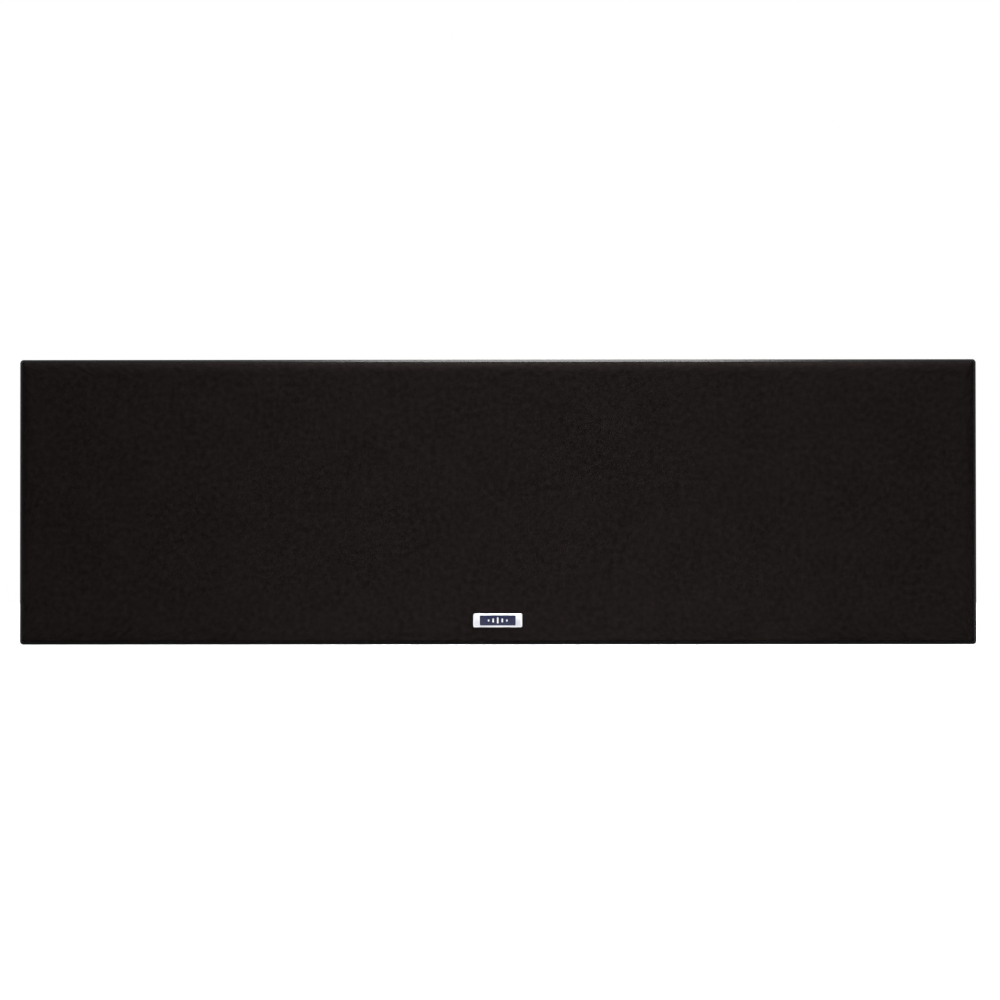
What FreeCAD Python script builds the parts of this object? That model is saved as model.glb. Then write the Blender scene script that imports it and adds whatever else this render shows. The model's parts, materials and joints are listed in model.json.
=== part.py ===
import FreeCAD, Part
import math
import os
import Sketcher

# An in-wall loudspeaker with two woofers, a dome tweeter, a cloth grille and six dog-leg clamps.
# X is the width, Y points into the wall, Z is up; the wall surface is the plane y = 0.

os.makedirs("parts", exist_ok=True)
doc = FreeCAD.newDocument("InWallSpeaker")

SIZES = {
    # moulded frame
    "face_width": 674.0,
    "face_height": 200.8,
    "face_corner": 2.5,
    "plate_thick": 5.0,
    "rim_wall": 1.9,
    "rim_height": 6.0,
    "rim_slope": 1.7,
    "tub_width": 648.0,
    "tub_height": 174.0,
    "tub_corner": 8.0,
    "tub_wall": 3.0,
    "tub_depth": 32.0,
    "rib_thick": 2.5,
    "rib_depth": 14.0,
    "inner_rib_x": 55.5,
    "outer_rib_x": 251.5,
    "seat_depth": 3.0,
    "seat_ring_depth": 8.0,
    "seat_ring_wall": 1.5,
    "seat_gap": 0.5,
    "boss_radius": 3.5,
    "boss_floor": 0.5,
    "driver_pilot": 1.7,
    "board_pilot": 1.5,
    "press_gap": 0.05,
    # grille
    "grille_gap": 0.5,
    "grille_proud": 15.0,
    "grille_depth": 6.0,
    "grille_border": 12.0,
    "grille_bar": 12.0,
    "cloth_thick": 0.8,
    "shoulder": 4.0,
    "grille_corner": 2.2,
    "window_corner": 6.0,
    "inner_bar_x": 66.5,
    "outer_bar_x": 262.0,
    "peg_radius": 3.0,
    "peg_height": 70.0,
    "peg_root": 4.5,
    "peg_collar": 5.0,
    "collar_thick": 1.0,
    "peg_end": 4.0,
    "peg_bevel": 1.2,
    "socket_radius": 7.0,
    "socket_lip": 1.5,
    "lip_thick": 1.2,
    "socket_end": 7.0,
    "socket_floor": 2.0,
    "socket_gap": 0.8,
    "badge_width": 34.6,
    "badge_height": 9.6,
    "badge_thick": 1.2,
    "badge_drop": 83.4,
    "badge_corner": 1.2,
    "badge_round": 0.4,
    # clamps
    "clamp_spread": 278.0,
    "clamp_height": 78.0,
    "clamp_screw_radius": 2.0,
    "clamp_head_radius": 3.8,
    "clamp_screw_end": 42.0,
    "clamp_head_front": 4.8,
    "clamp_head_rear": 2.4,
    "clamp_head_bevel": 0.8,
    "clamp_tip": 1.0,
    "clamp_gap": 0.3,
    "recess_depth": 2.6,
    "thread_gap": 0.1,
    "insert_radius": 4.5,
    "insert_flange": 1.5,
    "arm_front": 26.0,
    "arm_rear": 36.0,
    "arm_reach": 35.0,
    "arm_width": 12.0,
    "hub_radius": 7.0,
    "foot_front": 22.0,
    "foot_start": 24.0,
    "foot_thick": 5.0,
    "leg_step": 3.0,
    "leg_front_bend": 16.0,
    "leg_front_end": 22.0,
    "leg_rear_bend": 21.0,
    "leg_rear_end": 28.0,
    "leg_thick": 4.0,
    "tooth_start": 25.6,
    "tooth_pitch": 3.2,
    "tooth_width": 1.4,
    "tooth_depth": 0.8,
    "pocket_back": 13.0,
    "pocket_reach": 41.0,
    "pocket_depth": 19.0,
    # woofers
    "woofer_x": 165.0,
    "woofer_hole": 73.5,
    "woofer_rim": 83.0,
    "woofer_screw_circle": 79.75,
    "rim_thick": 4.0,
    "rim_land": 6.5,
    "lip_step": 1.4,
    "gasket_thick": 1.0,
    "gasket_gap": 0.1,
    "skirt_outer": 72.4,
    "skirt_inner": 69.0,
    "skirt_rear": 9.0,
    "spoke_width": 9.0,
    "spoke_front": 3.0,
    "spoke_curve": 45.0,
    "fin_width": 3.2,
    "fin_curve": 32.8,
    "fin_root": 9.0,
    "floor_thick": 4.0,
    "floor_hole": 19.5,
    "ring_width": 8.0,
    "ring_thick": 3.0,
    "screw_hole": 2.0,
    "roll_centre": 66.0,
    "roll_radius": 5.0,
    "skin": 0.8,
    "cone_rim": 61.0,
    "cone_mouth": 56.0,
    "cone_front": 1.4,
    "cone_neck": 20.0,
    "cone_thick": 1.2,
    "coil_radius": 13.1,
    "cap_radius": 21.0,
    "cap_rise": 8.0,
    "cap_foot": 2.0,
    "former_thick": 0.5,
    "former_inset": 3.0,
    "winding_thick": 0.8,
    "winding_front": 1.0,
    "winding_length": 10.0,
    "spider_seat": 28.0,
    "spider_rise": 5.0,
    "spider_skin": 0.6,
    "spider_lip": 6.0,
    "spider_collar": 4.0,
    "spider_wave": 1.5,
    "spider_radius": 51.0,
    "motor_front": 38.0,
    "top_plate_radius": 42.0,
    "top_plate_thick": 5.0,
    "magnet_radius": 46.0,
    "magnet_thick": 17.0,
    "magnet_hole": 22.0,
    "motor_bevel": 1.5,
    "gap_width": 1.3,
    "yoke_thick": 5.0,
    "pole_step": 0.5,
    "pole_radius": 12.2,
    "vent_radius": 4.5,
    "vent_flare": 2.0,
    # tweeter
    "tweeter_hole": 32.0,
    "tweeter_radius": 52.0,
    "tweeter_screw_circle": 46.0,
    "tweeter_front": 5.6,
    "throat_radius": 15.6,
    "mouth_radius": 27.0,
    "throat_front": 0.5,
    "throat_curve": 16.0,
    "faceplate_bevel": 0.6,
    "boss_step": 2.0,
    "dome_radius": 12.7,
    "dome_rise": 6.0,
    "dome_seat": 4.0,
    "dome_skin": 0.5,
    "dome_roll": 1.3,
    "dome_lip": 24.0,
    "dome_former": 4.5,
    "cup_radius": 26.0,
    "cup_rear": 22.0,
    "cup_inside": 18.0,
    "cup_floor": 4.0,
    "cup_vent": 3.0,
    "cup_bevel": 1.0,
    "pole_plate": 3.5,
    "pole_gap": 0.6,
    "chamber_radius": 22.0,
    "chamber_rear": 44.0,
    "chamber_wall": 2.0,
    "chamber_round": 3.0,
    # screws of the drivers, the board and the terminal plate
    "driver_head": 3.0,
    "driver_head_height": 1.6,
    "driver_shank": 1.6,
    "driver_length": 13.5,
    "driver_bevel": 0.7,
    "board_head": 2.8,
    "board_head_height": 2.0,
    "board_shank": 1.4,
    "board_length": 12.0,
    "board_bevel": 0.8,
    "board_hole": 1.6,
    # crossover and terminals
    "end_bay_x": 288.0,
    "board_width": 58.0,
    "board_height": 124.0,
    "board_thick": 1.6,
    "board_front": 14.0,
    "board_hole_x": 23.0,
    "board_hole_z": 55.0,
    "big_coil_inner": 9.0,
    "big_coil_outer": 22.0,
    "big_coil_depth": 20.0,
    "big_coil_z": 32.0,
    "small_coil_inner": 5.0,
    "small_coil_outer": 12.0,
    "small_coil_depth": 12.0,
    "small_coil_x": 9.0,
    "small_coil_z": 42.0,
    "can_radius": 9.0,
    "can_length": 36.0,
    "can_z": 5.0,
    "resistor_side": 8.0,
    "resistor_length": 28.0,
    "resistor_x": 12.0,
    "resistor_z": 38.0,
    "terminal_front": 10.0,
    "terminal_thick": 3.0,
    "terminal_width": 34.0,
    "terminal_height": 64.0,
    "terminal_hole_z": 26.0,
    "stud_spacing": 19.0,
    "stud_radius": 3.0,
    "stud_thread": 3.2,
    "stud_rear": 21.0,
    "nut_radius": 5.0,
    "collar_radius": 6.0,
    "collar_depth": 2.0,
    "stud_gap": 0.1,
    "plug_radius": 2.05,
    "plug_depth": 14.0,
    "post_bore": 3.5,
    "post_outer": 6.6,
    "post_bevel": 0.6,
    "post_front": 4.0,
    "post_rear": 19.0,
    "flute_radius": 1.0,
    "flute_circle": 7.0,
    "flute_start": 7.0,
}


class Dim:
    """A size from the sheet, or one worked out from such sizes, with its expression."""

    def __init__(self, value, text):
        self.value = value
        self.text = text

    @staticmethod
    def of(other):
        if isinstance(other, Dim):
            return other
        return Dim(float(other), "(%r)" % float(other))

    def __add__(self, other):
        other = Dim.of(other)
        return Dim(self.value + other.value, "(%s + %s)" % (self.text, other.text))

    def __sub__(self, other):
        other = Dim.of(other)
        return Dim(self.value - other.value, "(%s - %s)" % (self.text, other.text))

    def __mul__(self, other):
        other = Dim.of(other)
        return Dim(self.value * other.value, "(%s * %s)" % (self.text, other.text))

    def __truediv__(self, other):
        other = Dim.of(other)
        return Dim(self.value / other.value, "(%s / %s)" % (self.text, other.text))

    def __radd__(self, other):
        return Dim.of(other) + self

    def __rsub__(self, other):
        return Dim.of(other) - self

    def __rmul__(self, other):
        return Dim.of(other) * self

    def __neg__(self):
        return Dim.of(0.0) - self


class Sizes:
    """The sheet's cells by their aliases."""


def fill_sheet():
    """Put every size into the sheet under its alias."""
    sheet = doc.addObject("Spreadsheet::Sheet", "Sheet")
    for row, (alias, value) in enumerate(SIZES.items(), start=1):
        sheet.set("A%d" % row, alias)
        sheet.set("B%d" % row, str(value))
        sheet.setAlias("B%d" % row, alias)
        setattr(Sizes, alias, Dim(value, "Sheet.%s" % alias))
    doc.recompute()


def bind(thing, name, size):
    """Bind one property to its expression."""
    thing.setExpression(name, Dim.of(size).text)


def new_body(label):
    """A body under the node's name."""
    body = doc.addObject("PartDesign::Body", label)
    body.Label = label
    return body


def place(body, x=0.0, y=0.0, z=0.0, turn=0.0):
    """Move a body, turned about Y first."""
    spin = FreeCAD.Rotation(FreeCAD.Vector(0, 1, 0), turn)
    x, y, z = Dim.of(x), Dim.of(y), Dim.of(z)
    body.Placement = FreeCAD.Placement(FreeCAD.Vector(x.value, y.value, z.value), spin)
    bind(body, "Placement.Base.x", x)
    bind(body, "Placement.Base.y", y)
    bind(body, "Placement.Base.z", z)


def sketch_on(body, role, offset=0.0):
    """A sketch on one of the body's own planes, moved along its normal."""
    plane = [f for f in body.Origin.OriginFeatures if f.Role == role][0]
    sketch = body.newObject("Sketcher::SketchObject", body.Name + "_sketch")
    sketch.AttachmentSupport = (plane, [""])
    sketch.MapMode = "FlatFace"
    offset = Dim.of(offset)
    sketch.AttachmentOffset = FreeCAD.Placement(
        FreeCAD.Vector(0, 0, offset.value), FreeCAD.Rotation()
    )
    bind(sketch, "AttachmentOffset.Base.z", offset)
    return sketch


def flat_sketch(body, y):
    """A sketch square to Y at depth y, seen from the front: right is X, up is Z."""
    return sketch_on(body, "XZ_Plane", -Dim.of(y))


def fix(sketch, geometry, end, x, y):
    """Hold one point of a sketch at x, y."""
    for kind, size in (("DistanceX", Dim.of(x)), ("DistanceY", Dim.of(y))):
        index = sketch.addConstraint(
            Sketcher.Constraint(kind, -1, 1, geometry, end, size.value)
        )
        bind(sketch, "Constraints[%d]" % index, size)


def set_radius(sketch, geometry, radius):
    """Hold the radius of a circle or an arc."""
    index = sketch.addConstraint(Sketcher.Constraint("Radius", geometry, radius.value))
    bind(sketch, "Constraints[%d]" % index, radius)


def circle(sketch, radius, x=0.0, y=0.0):
    """A circle round x, y."""
    radius, x, y = Dim.of(radius), Dim.of(x), Dim.of(y)
    shape = Part.Circle(
        FreeCAD.Vector(x.value, y.value, 0), FreeCAD.Vector(0, 0, 1), radius.value
    )
    index = sketch.addGeometry(shape, False)
    set_radius(sketch, index, radius)
    fix(sketch, index, 3, x, y)


def minor_arc(start, end, radius):
    """The short arc between two points: left-hand for a positive radius."""
    size = abs(radius)
    chord = end - start
    middle = (start + end) * 0.5
    rise = math.sqrt(max(size * size - chord.Length ** 2 / 4.0, 0.0))
    side = FreeCAD.Vector(-chord.y, chord.x, 0).normalize() * rise
    centre = middle + side if radius > 0 else middle - side
    first, last = (start, end) if radius > 0 else (end, start)
    low = math.atan2(first.y - centre.y, first.x - centre.x)
    high = math.atan2(last.y - centre.y, last.x - centre.x)
    if high < low:
        high += 2 * math.pi
    round_shape = Part.Circle(centre, FreeCAD.Vector(0, 0, 1), size)
    return Part.ArcOfCircle(round_shape, low, high)


def outline(sketch, corners):
    """A closed outline of corners (x, y) or (x, y, radius).

    A radius makes the edge to the next corner an arc: positive turns left, negative right.
    """
    points = []
    for corner in corners:
        points.append(FreeCAD.Vector(Dim.of(corner[0]).value, Dim.of(corner[1]).value, 0))
    ends = []
    for k, corner in enumerate(corners):
        start, end = points[k], points[(k + 1) % len(points)]
        if len(corner) == 2:
            index = sketch.addGeometry(Part.LineSegment(start, end), False)
            ends.append((index, 1, 2))
        else:
            sign, radius = corner[2]
            radius = Dim.of(radius)
            index = sketch.addGeometry(minor_arc(start, end, sign * radius.value), False)
            set_radius(sketch, index, radius)
            ends.append((index, 1, 2) if sign > 0 else (index, 2, 1))
    for k, corner in enumerate(corners):
        before = ends[k - 1]
        here = ends[k]
        sketch.addConstraint(
            Sketcher.Constraint("Coincident", before[0], before[2], here[0], here[1])
        )
        fix(sketch, here[0], here[1], corner[0], corner[1])


LEFT = 1
RIGHT = -1


def rectangle(sketch, x0, y0, x1, y1):
    """A rectangle between two corners."""
    outline(sketch, [(x0, y0), (x1, y0), (x1, y1), (x0, y1)])


def rounded(sketch, width, height, radius, x=0.0, y=0.0):
    """A rectangle with round corners about x, y."""
    right, top = Dim.of(x) + Dim.of(width) / 2, Dim.of(y) + Dim.of(height) / 2
    left, low = Dim.of(x) - Dim.of(width) / 2, Dim.of(y) - Dim.of(height) / 2
    arc = (LEFT, radius)
    outline(sketch, [
        (left + radius, low),
        (right - radius, low, arc),
        (right, low + radius),
        (right, top - radius, arc),
        (right - radius, top),
        (left + radius, top, arc),
        (left, top - radius),
        (left, low + radius, arc),
    ])


def pad(body, sketch, length, reverse=False):
    """Add material from the sketch towards the front."""
    feature = body.newObject("PartDesign::Pad", body.Name + "_pad")
    feature.Profile = sketch
    feature.Length = Dim.of(length).value
    bind(feature, "Length", length)
    feature.Reversed = reverse
    return feature


def pocket(body, sketch, depth, reverse=False):
    """Cut from the sketch towards the rear."""
    feature = body.newObject("PartDesign::Pocket", body.Name + "_pocket")
    feature.Profile = sketch
    feature.Length = Dim.of(depth).value
    bind(feature, "Length", depth)
    feature.Reversed = reverse
    return feature


def turn_profile(body, corners):
    """Add a ring turned about Y from an outline of (radius, depth) corners."""
    sketch = sketch_on(body, "XY_Plane")
    outline(sketch, corners)
    feature = body.newObject("PartDesign::Revolution", body.Name + "_turn")
    feature.Profile = sketch
    feature.ReferenceAxis = (sketch, ["V_Axis"])
    feature.Angle = 360
    return feature


def turned(label, corners, x=0.0):
    """A body turned about Y at x."""
    body = new_body(label)
    turn_profile(body, corners)
    place(body, x)
    return body


def ring(inner, outer, front, rear):
    """The corners of a plain ring."""
    return [(inner, front), (outer, front), (outer, rear), (inner, rear)]


def round_edges(body, radius, wanted, kind="PartDesign::Fillet"):
    """Round or bevel the edges that the test picks."""
    doc.recompute()
    base = body.Tip
    names = []
    for number, edge in enumerate(base.Shape.Edges, start=1):
        if wanted(edge):
            names.append("Edge%d" % number)
    feature = body.newObject(kind, body.Name + "_edges")
    feature.Base = (base, names)
    size = "Radius" if kind == "PartDesign::Fillet" else "Size"
    bind(feature, size, radius)
    return feature


def flat_at(y):
    """A test for edges that lie in the plane at depth y."""
    level = Dim.of(y).value

    def wanted(edge):
        box = edge.BoundBox
        return abs(box.YMin - level) < 1e-4 and abs(box.YMax - level) < 1e-4

    return wanted


def polar(body, feature, count):
    """Repeat a feature round Y."""
    axis = [f for f in body.Origin.OriginFeatures if f.Role == "Y_Axis"][0]
    pattern = body.newObject("PartDesign::PolarPattern", body.Name + "_pattern")
    pattern.Originals = [feature]
    pattern.Axis = (axis, [""])
    pattern.Angle = 360
    pattern.Occurrences = count
    body.Tip = pattern
    return pattern


def stacked(label, centres, layers, bores=()):
    """Round pieces along Y at several centres, from layers (radius, front, rear) and bores."""
    body = new_body(label)
    for radius, front, rear in layers:
        sketch = flat_sketch(body, rear)
        for x, z in centres:
            circle(sketch, radius, x, z)
        pad(body, sketch, Dim.of(rear) - front)
    for radius, front, rear in bores:
        sketch = flat_sketch(body, front)
        for x, z in centres:
            circle(sketch, radius, x, z)
        pocket(body, sketch, Dim.of(rear) - front)
    return body


def on_circle(radius, count, start, x=0.0):
    """Centres spread evenly on a circle round x, 0."""
    places = []
    for k in range(count):
        angle = math.radians(start + 360.0 * k / count)
        places.append((x + radius * math.cos(angle), radius * math.sin(angle)))
    return places


fill_sheet()
S = Sizes

SIDES = (("left", -1), ("right", 1))
SPOKES = 6
WAVES = 7
FLUTES = 10
WOOFER_SCREWS, WOOFER_SCREW_START = 6, 30.0
TWEETER_SCREWS, TWEETER_SCREW_START = 4, 45.0
plate_front = -S.plate_thick
seat = -(S.plate_thick - S.seat_depth)
board_holes = [(S.end_bay_x + a * S.board_hole_x, b * S.board_hole_z)
               for a in (-1, 1) for b in (-1, 1)]
terminal_holes = [(-S.end_bay_x, b * S.terminal_hole_z) for b in (-1, 1)]
stud_places = [(-S.end_bay_x, b * S.stud_spacing / 2) for b in (-1, 1)]
peg_places = [(a * S.inner_bar_x, b * S.peg_height) for a in (-1, 1) for b in (-1, 1)]
peg_places += [(a * S.outer_bar_x, Dim.of(0.0)) for a in (-1, 1)]
woofer_screws = []
for _, side in SIDES:
    woofer_screws += on_circle(S.woofer_screw_circle, WOOFER_SCREWS, WOOFER_SCREW_START,
                               side * S.woofer_x)
tweeter_screws = on_circle(S.tweeter_screw_circle, TWEETER_SCREWS, TWEETER_SCREW_START)

# Each clamp: its number, its column and its row. Top arms lie folded to the left and bottom arms
# to the right, so that a clockwise turn swings every one of them out.
CLAMPS = [(1, -1, 1), (2, 0, 1), (3, 1, 1), (4, -1, -1), (5, 0, -1), (6, 1, -1)]


def clamp_place(column, row):
    """The screw axis of one clamp."""
    return column * S.clamp_spread, row * S.clamp_height


def pocket_box(sketch, column, row, margin, open_by):
    """The outline of one clamp pocket, grown by a margin on its three closed sides."""
    x, _ = clamp_place(column, row)
    fold = -row
    x0 = x - fold * (S.pocket_back + margin)
    x1 = x + fold * (S.pocket_reach + margin)
    z0 = row * (S.tub_height / 2 - S.pocket_depth - margin)
    z1 = row * (S.tub_height / 2 + open_by)
    if fold < 0:
        x0, x1 = x1, x0
    if row < 0:
        z0, z1 = z1, z0
    rectangle(sketch, x0, z0, x1, z1)


def build_frame():
    """The one moulding that carries everything else."""
    body = new_body("baffle_frame")
    sketch = flat_sketch(body, 0.0)
    rounded(sketch, S.face_width, S.face_height, S.face_corner)
    pad(body, sketch, S.plate_thick)

    sketch = flat_sketch(body, plate_front)
    rounded(sketch, S.face_width, S.face_height, S.face_corner)
    rounded(sketch, S.face_width - 2 * S.rim_wall, S.face_height - 2 * S.rim_wall,
            S.face_corner - S.rim_wall)
    pad(body, sketch, S.rim_height)

    sketch = flat_sketch(body, S.tub_depth)
    rounded(sketch, S.tub_width, S.tub_height, S.tub_corner)
    rounded(sketch, S.tub_width - 2 * S.tub_wall, S.tub_height - 2 * S.tub_wall,
            S.tub_corner - S.tub_wall)
    pad(body, sketch, S.tub_depth)

    sketch = flat_sketch(body, S.tub_depth)
    for _, column, row in CLAMPS:
        pocket_box(sketch, column, row, S.tub_wall, Dim.of(0.0))
    pad(body, sketch, S.tub_depth)
    sketch = flat_sketch(body, S.tub_depth)
    for _, column, row in CLAMPS:
        pocket_box(sketch, column, row, Dim.of(0.0), S.tub_wall)
    pocket(body, sketch, S.tub_depth, reverse=True)

    # ribs across the back of the baffle
    inner = S.tub_height / 2 - S.tub_wall / 2
    half = S.rib_thick / 2
    short = S.tub_height / 2 - S.pocket_depth - S.tub_wall / 2
    sketch = flat_sketch(body, S.rib_depth)
    for side in (-1, 1):
        near, far = side * S.inner_rib_x, side * S.outer_rib_x
        rectangle(sketch, near - half, -inner, near + half, inner)
        rectangle(sketch, far - half, -short, far + half, short)
    pad(body, sketch, S.rib_depth)
    sketch = flat_sketch(body, S.rib_depth)
    ring_reach = S.woofer_rim - S.seat_gap
    for side in (-1, 1):
        for near, far in ((S.inner_rib_x, S.woofer_x - ring_reach),
                          (S.woofer_x + ring_reach, S.outer_rib_x)):
            x0, x1 = (near, far) if side > 0 else (-far, -near)
            rectangle(sketch, x0, -half, x1, half)
    pad(body, sketch, S.rib_depth)

    # driver seats
    sketch = flat_sketch(body, S.seat_ring_depth)
    circle(sketch, S.tweeter_radius + S.seat_ring_wall)
    for side in (-1, 1):
        circle(sketch, S.woofer_rim + S.seat_ring_wall, side * S.woofer_x)
    pad(body, sketch, S.seat_ring_depth)
    sketch = flat_sketch(body, plate_front)
    circle(sketch, S.tweeter_radius + S.seat_gap)
    for side in (-1, 1):
        circle(sketch, S.woofer_rim + S.seat_gap, side * S.woofer_x)
    pocket(body, sketch, S.seat_depth)
    sketch = flat_sketch(body, seat)
    circle(sketch, S.tweeter_hole)
    for side in (-1, 1):
        circle(sketch, S.woofer_hole, side * S.woofer_x)
    pocket(body, sketch, S.rib_depth - seat)

    # bosses for the crossover board and the terminal plate
    sketch = flat_sketch(body, S.board_front)
    for x, z in board_holes:
        circle(sketch, S.boss_radius, x, z)
    pad(body, sketch, S.board_front)
    sketch = flat_sketch(body, S.terminal_front)
    for x, z in terminal_holes:
        circle(sketch, S.boss_radius, x, z)
    pad(body, sketch, S.terminal_front)

    # holes for screws and peg sockets
    sketch = flat_sketch(body, seat)
    for x, z in woofer_screws + tweeter_screws:
        circle(sketch, S.driver_pilot, x, z)
    pocket(body, sketch, S.seat_ring_depth - seat)
    sketch = flat_sketch(body, S.board_front)
    for x, z in board_holes:
        circle(sketch, S.board_pilot, x, z)
    pocket(body, sketch, S.board_front - S.boss_floor, reverse=True)
    sketch = flat_sketch(body, S.terminal_front)
    for x, z in terminal_holes:
        circle(sketch, S.board_pilot, x, z)
    pocket(body, sketch, S.terminal_front - S.boss_floor, reverse=True)
    sketch = flat_sketch(body, plate_front)
    for x, z in peg_places:
        circle(sketch, S.socket_radius, x, z)
    pocket(body, sketch, S.plate_thick)
    sketch = flat_sketch(body, plate_front)
    for _, column, row in CLAMPS:
        x, z = clamp_place(column, row)
        circle(sketch, S.clamp_screw_radius + S.clamp_gap, x, z)
    pocket(body, sketch, S.plate_thick)
    sketch = flat_sketch(body, plate_front)
    for _, column, row in CLAMPS:
        x, z = clamp_place(column, row)
        circle(sketch, S.clamp_head_radius + 2 * S.clamp_gap, x, z)
    pocket(body, sketch, S.recess_depth)

    # a slope all round the outer edge of the rim
    rim_front = flat_at(plate_front - S.rim_height)
    reach_x = (S.face_width / 2 - S.rim_wall / 2).value
    reach_z = (S.face_height / 2 - S.rim_wall / 2).value

    def outer_rim(edge):
        middle = edge.CenterOfMass
        return rim_front(edge) and (abs(middle.x) > reach_x or abs(middle.z) > reach_z)

    round_edges(body, S.rim_slope, outer_rim, "PartDesign::Chamfer")


def build_grille():
    """The cloth-covered grille with its pegs, sockets and badge."""
    width = S.face_width - 2 * (S.rim_wall + S.grille_gap)
    height = S.face_height - 2 * (S.rim_wall + S.grille_gap)
    front = -S.grille_proud
    frame_front = front + S.cloth_thick
    frame_rear = frame_front + S.grille_depth
    corner = S.grille_corner

    cloth = new_body("grille_cloth")
    sketch = flat_sketch(cloth, frame_rear + S.cloth_thick)
    rounded(sketch, width, height, corner)
    pad(cloth, sketch, S.grille_depth + 2 * S.cloth_thick)
    round_edges(cloth, S.shoulder, flat_at(front))
    sketch = flat_sketch(cloth, frame_rear + S.cloth_thick)
    rounded(sketch, width - 2 * S.grille_border, height - 2 * S.grille_border, corner)
    pocket(cloth, sketch, S.cloth_thick, reverse=True)

    hollow = new_body("cloth_hollow")
    sketch = flat_sketch(hollow, frame_rear)
    rounded(sketch, width - 2 * S.cloth_thick, height - 2 * S.cloth_thick, corner - S.cloth_thick)
    pad(hollow, sketch, S.grille_depth)
    round_edges(hollow, S.shoulder - S.cloth_thick, flat_at(frame_front))
    cut = doc.addObject("Part::Cut", "grille_cloth_shell")
    cut.Base = cloth
    cut.Tool = hollow
    cloth.Label = "cloth_block"
    cut.Label = "grille_cloth"

    body = new_body("grille_frame")
    sketch = flat_sketch(body, frame_rear)
    rounded(sketch, width - 2 * S.cloth_thick, height - 2 * S.cloth_thick, corner - S.cloth_thick)
    pad(body, sketch, S.grille_depth)
    round_edges(body, S.shoulder - S.cloth_thick, flat_at(frame_front))
    reach = width / 2 - S.cloth_thick - S.grille_border
    half = S.grille_bar / 2
    tall = height - 2 * (S.cloth_thick + S.grille_border)
    sketch = flat_sketch(body, frame_front)
    rounded(sketch, 2 * (S.inner_bar_x - half), tall, S.window_corner)
    for side in (-1, 1):
        near, far = S.inner_bar_x + half, S.outer_bar_x - half
        rounded(sketch, far - near, tall, S.window_corner, side * (near + far) / 2)
        near, far = S.outer_bar_x + half, reach
        rounded(sketch, far - near, tall, S.window_corner, side * (near + far) / 2)
    pocket(body, sketch, S.grille_depth)
    sketch = flat_sketch(body, frame_rear)
    for x, z in peg_places:
        circle(sketch, S.peg_radius, x, z)
    pocket(body, sketch, S.peg_root, reverse=True)

    pegs = stacked("grille_pegs", peg_places, [
        (S.peg_radius - S.press_gap, frame_rear - S.peg_root, frame_rear),
        (S.peg_collar, frame_rear, frame_rear + S.collar_thick),
        (S.peg_radius, frame_rear + S.collar_thick, S.peg_end),
    ])
    round_edges(pegs, S.peg_bevel, flat_at(S.peg_end), "PartDesign::Chamfer")
    stacked("peg_sockets", peg_places, [
        (S.socket_radius - S.press_gap, plate_front, 0.0),
        (S.socket_radius + S.socket_lip, 0.0, S.lip_thick),
        (S.socket_radius - S.socket_lip, S.lip_thick, S.socket_end),
    ], [(S.peg_radius + S.socket_gap, plate_front, S.socket_end - S.socket_floor)])

    badge = new_body("badge_plate")
    sketch = flat_sketch(badge, front)
    rounded(sketch, S.badge_width, S.badge_height, S.badge_corner)
    pad(badge, sketch, S.badge_thick)
    round_edges(badge, S.badge_round, flat_at(front - S.badge_thick))
    place(badge, 0.0, 0.0, -S.badge_drop)


def build_clamp(number, column, row):
    """One dog-leg clamp: screw, threaded insert and arm, the arm folded into its pocket."""
    x, z = clamp_place(column, row)
    turn = 180.0 if row > 0 else 0.0
    screw = turned("clamp_screw_%d" % number, [
        (0.0, -S.clamp_head_front),
        (S.clamp_head_radius - S.clamp_head_bevel, -S.clamp_head_front),
        (S.clamp_head_radius, -S.clamp_head_front + S.clamp_head_bevel),
        (S.clamp_head_radius, -S.clamp_head_rear),
        (S.clamp_screw_radius, -S.clamp_head_rear),
        (S.clamp_screw_radius, S.clamp_screw_end - S.clamp_tip),
        (S.clamp_screw_radius - S.clamp_tip, S.clamp_screw_end),
        (0.0, S.clamp_screw_end),
    ])
    place(screw, x, 0.0, z)
    insert = turned("clamp_insert_%d" % number, [
        (S.clamp_screw_radius + S.thread_gap, S.arm_front),
        (S.insert_radius, S.arm_front),
        (S.insert_radius, S.arm_rear),
        (S.insert_radius + S.insert_flange, S.arm_rear),
        (S.insert_radius + S.insert_flange, S.arm_rear + S.insert_flange),
        (S.clamp_screw_radius + S.thread_gap, S.arm_rear + S.insert_flange),
    ])
    place(insert, x, 0.0, z)

    arm = new_body("clamp_arm_%d" % number)
    sketch = sketch_on(arm, "XY_Plane", -S.arm_width / 2)
    outline(sketch, [
        (Dim.of(0.0), S.arm_front + S.leg_step),
        (S.leg_front_bend, S.arm_front + S.leg_step),
        (S.leg_front_end, S.foot_front + S.leg_thick),
        (S.foot_start, S.foot_front),
        (S.arm_reach, S.foot_front),
        (S.arm_reach, S.foot_front + S.foot_thick),
        (S.leg_rear_end, S.foot_front + S.foot_thick + S.leg_thick),
        (S.leg_rear_bend, S.arm_rear),
        (Dim.of(0.0), S.arm_rear),
    ])
    pad(arm, sketch, S.arm_width)
    sketch = flat_sketch(arm, S.arm_rear)
    circle(sketch, S.hub_radius)
    pad(arm, sketch, S.arm_rear - S.arm_front)
    sketch = flat_sketch(arm, S.arm_front)
    circle(sketch, S.insert_radius + S.thread_gap)
    pocket(arm, sketch, S.arm_rear - S.arm_front)
    sketch = flat_sketch(arm, S.foot_front)
    for k in range(3):
        near = S.tooth_start + k * S.tooth_pitch
        rectangle(sketch, near, -S.arm_width / 2, near + S.tooth_width, S.arm_width / 2)
    pocket(arm, sketch, S.tooth_depth)
    place(arm, x, 0.0, z, turn)


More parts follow.
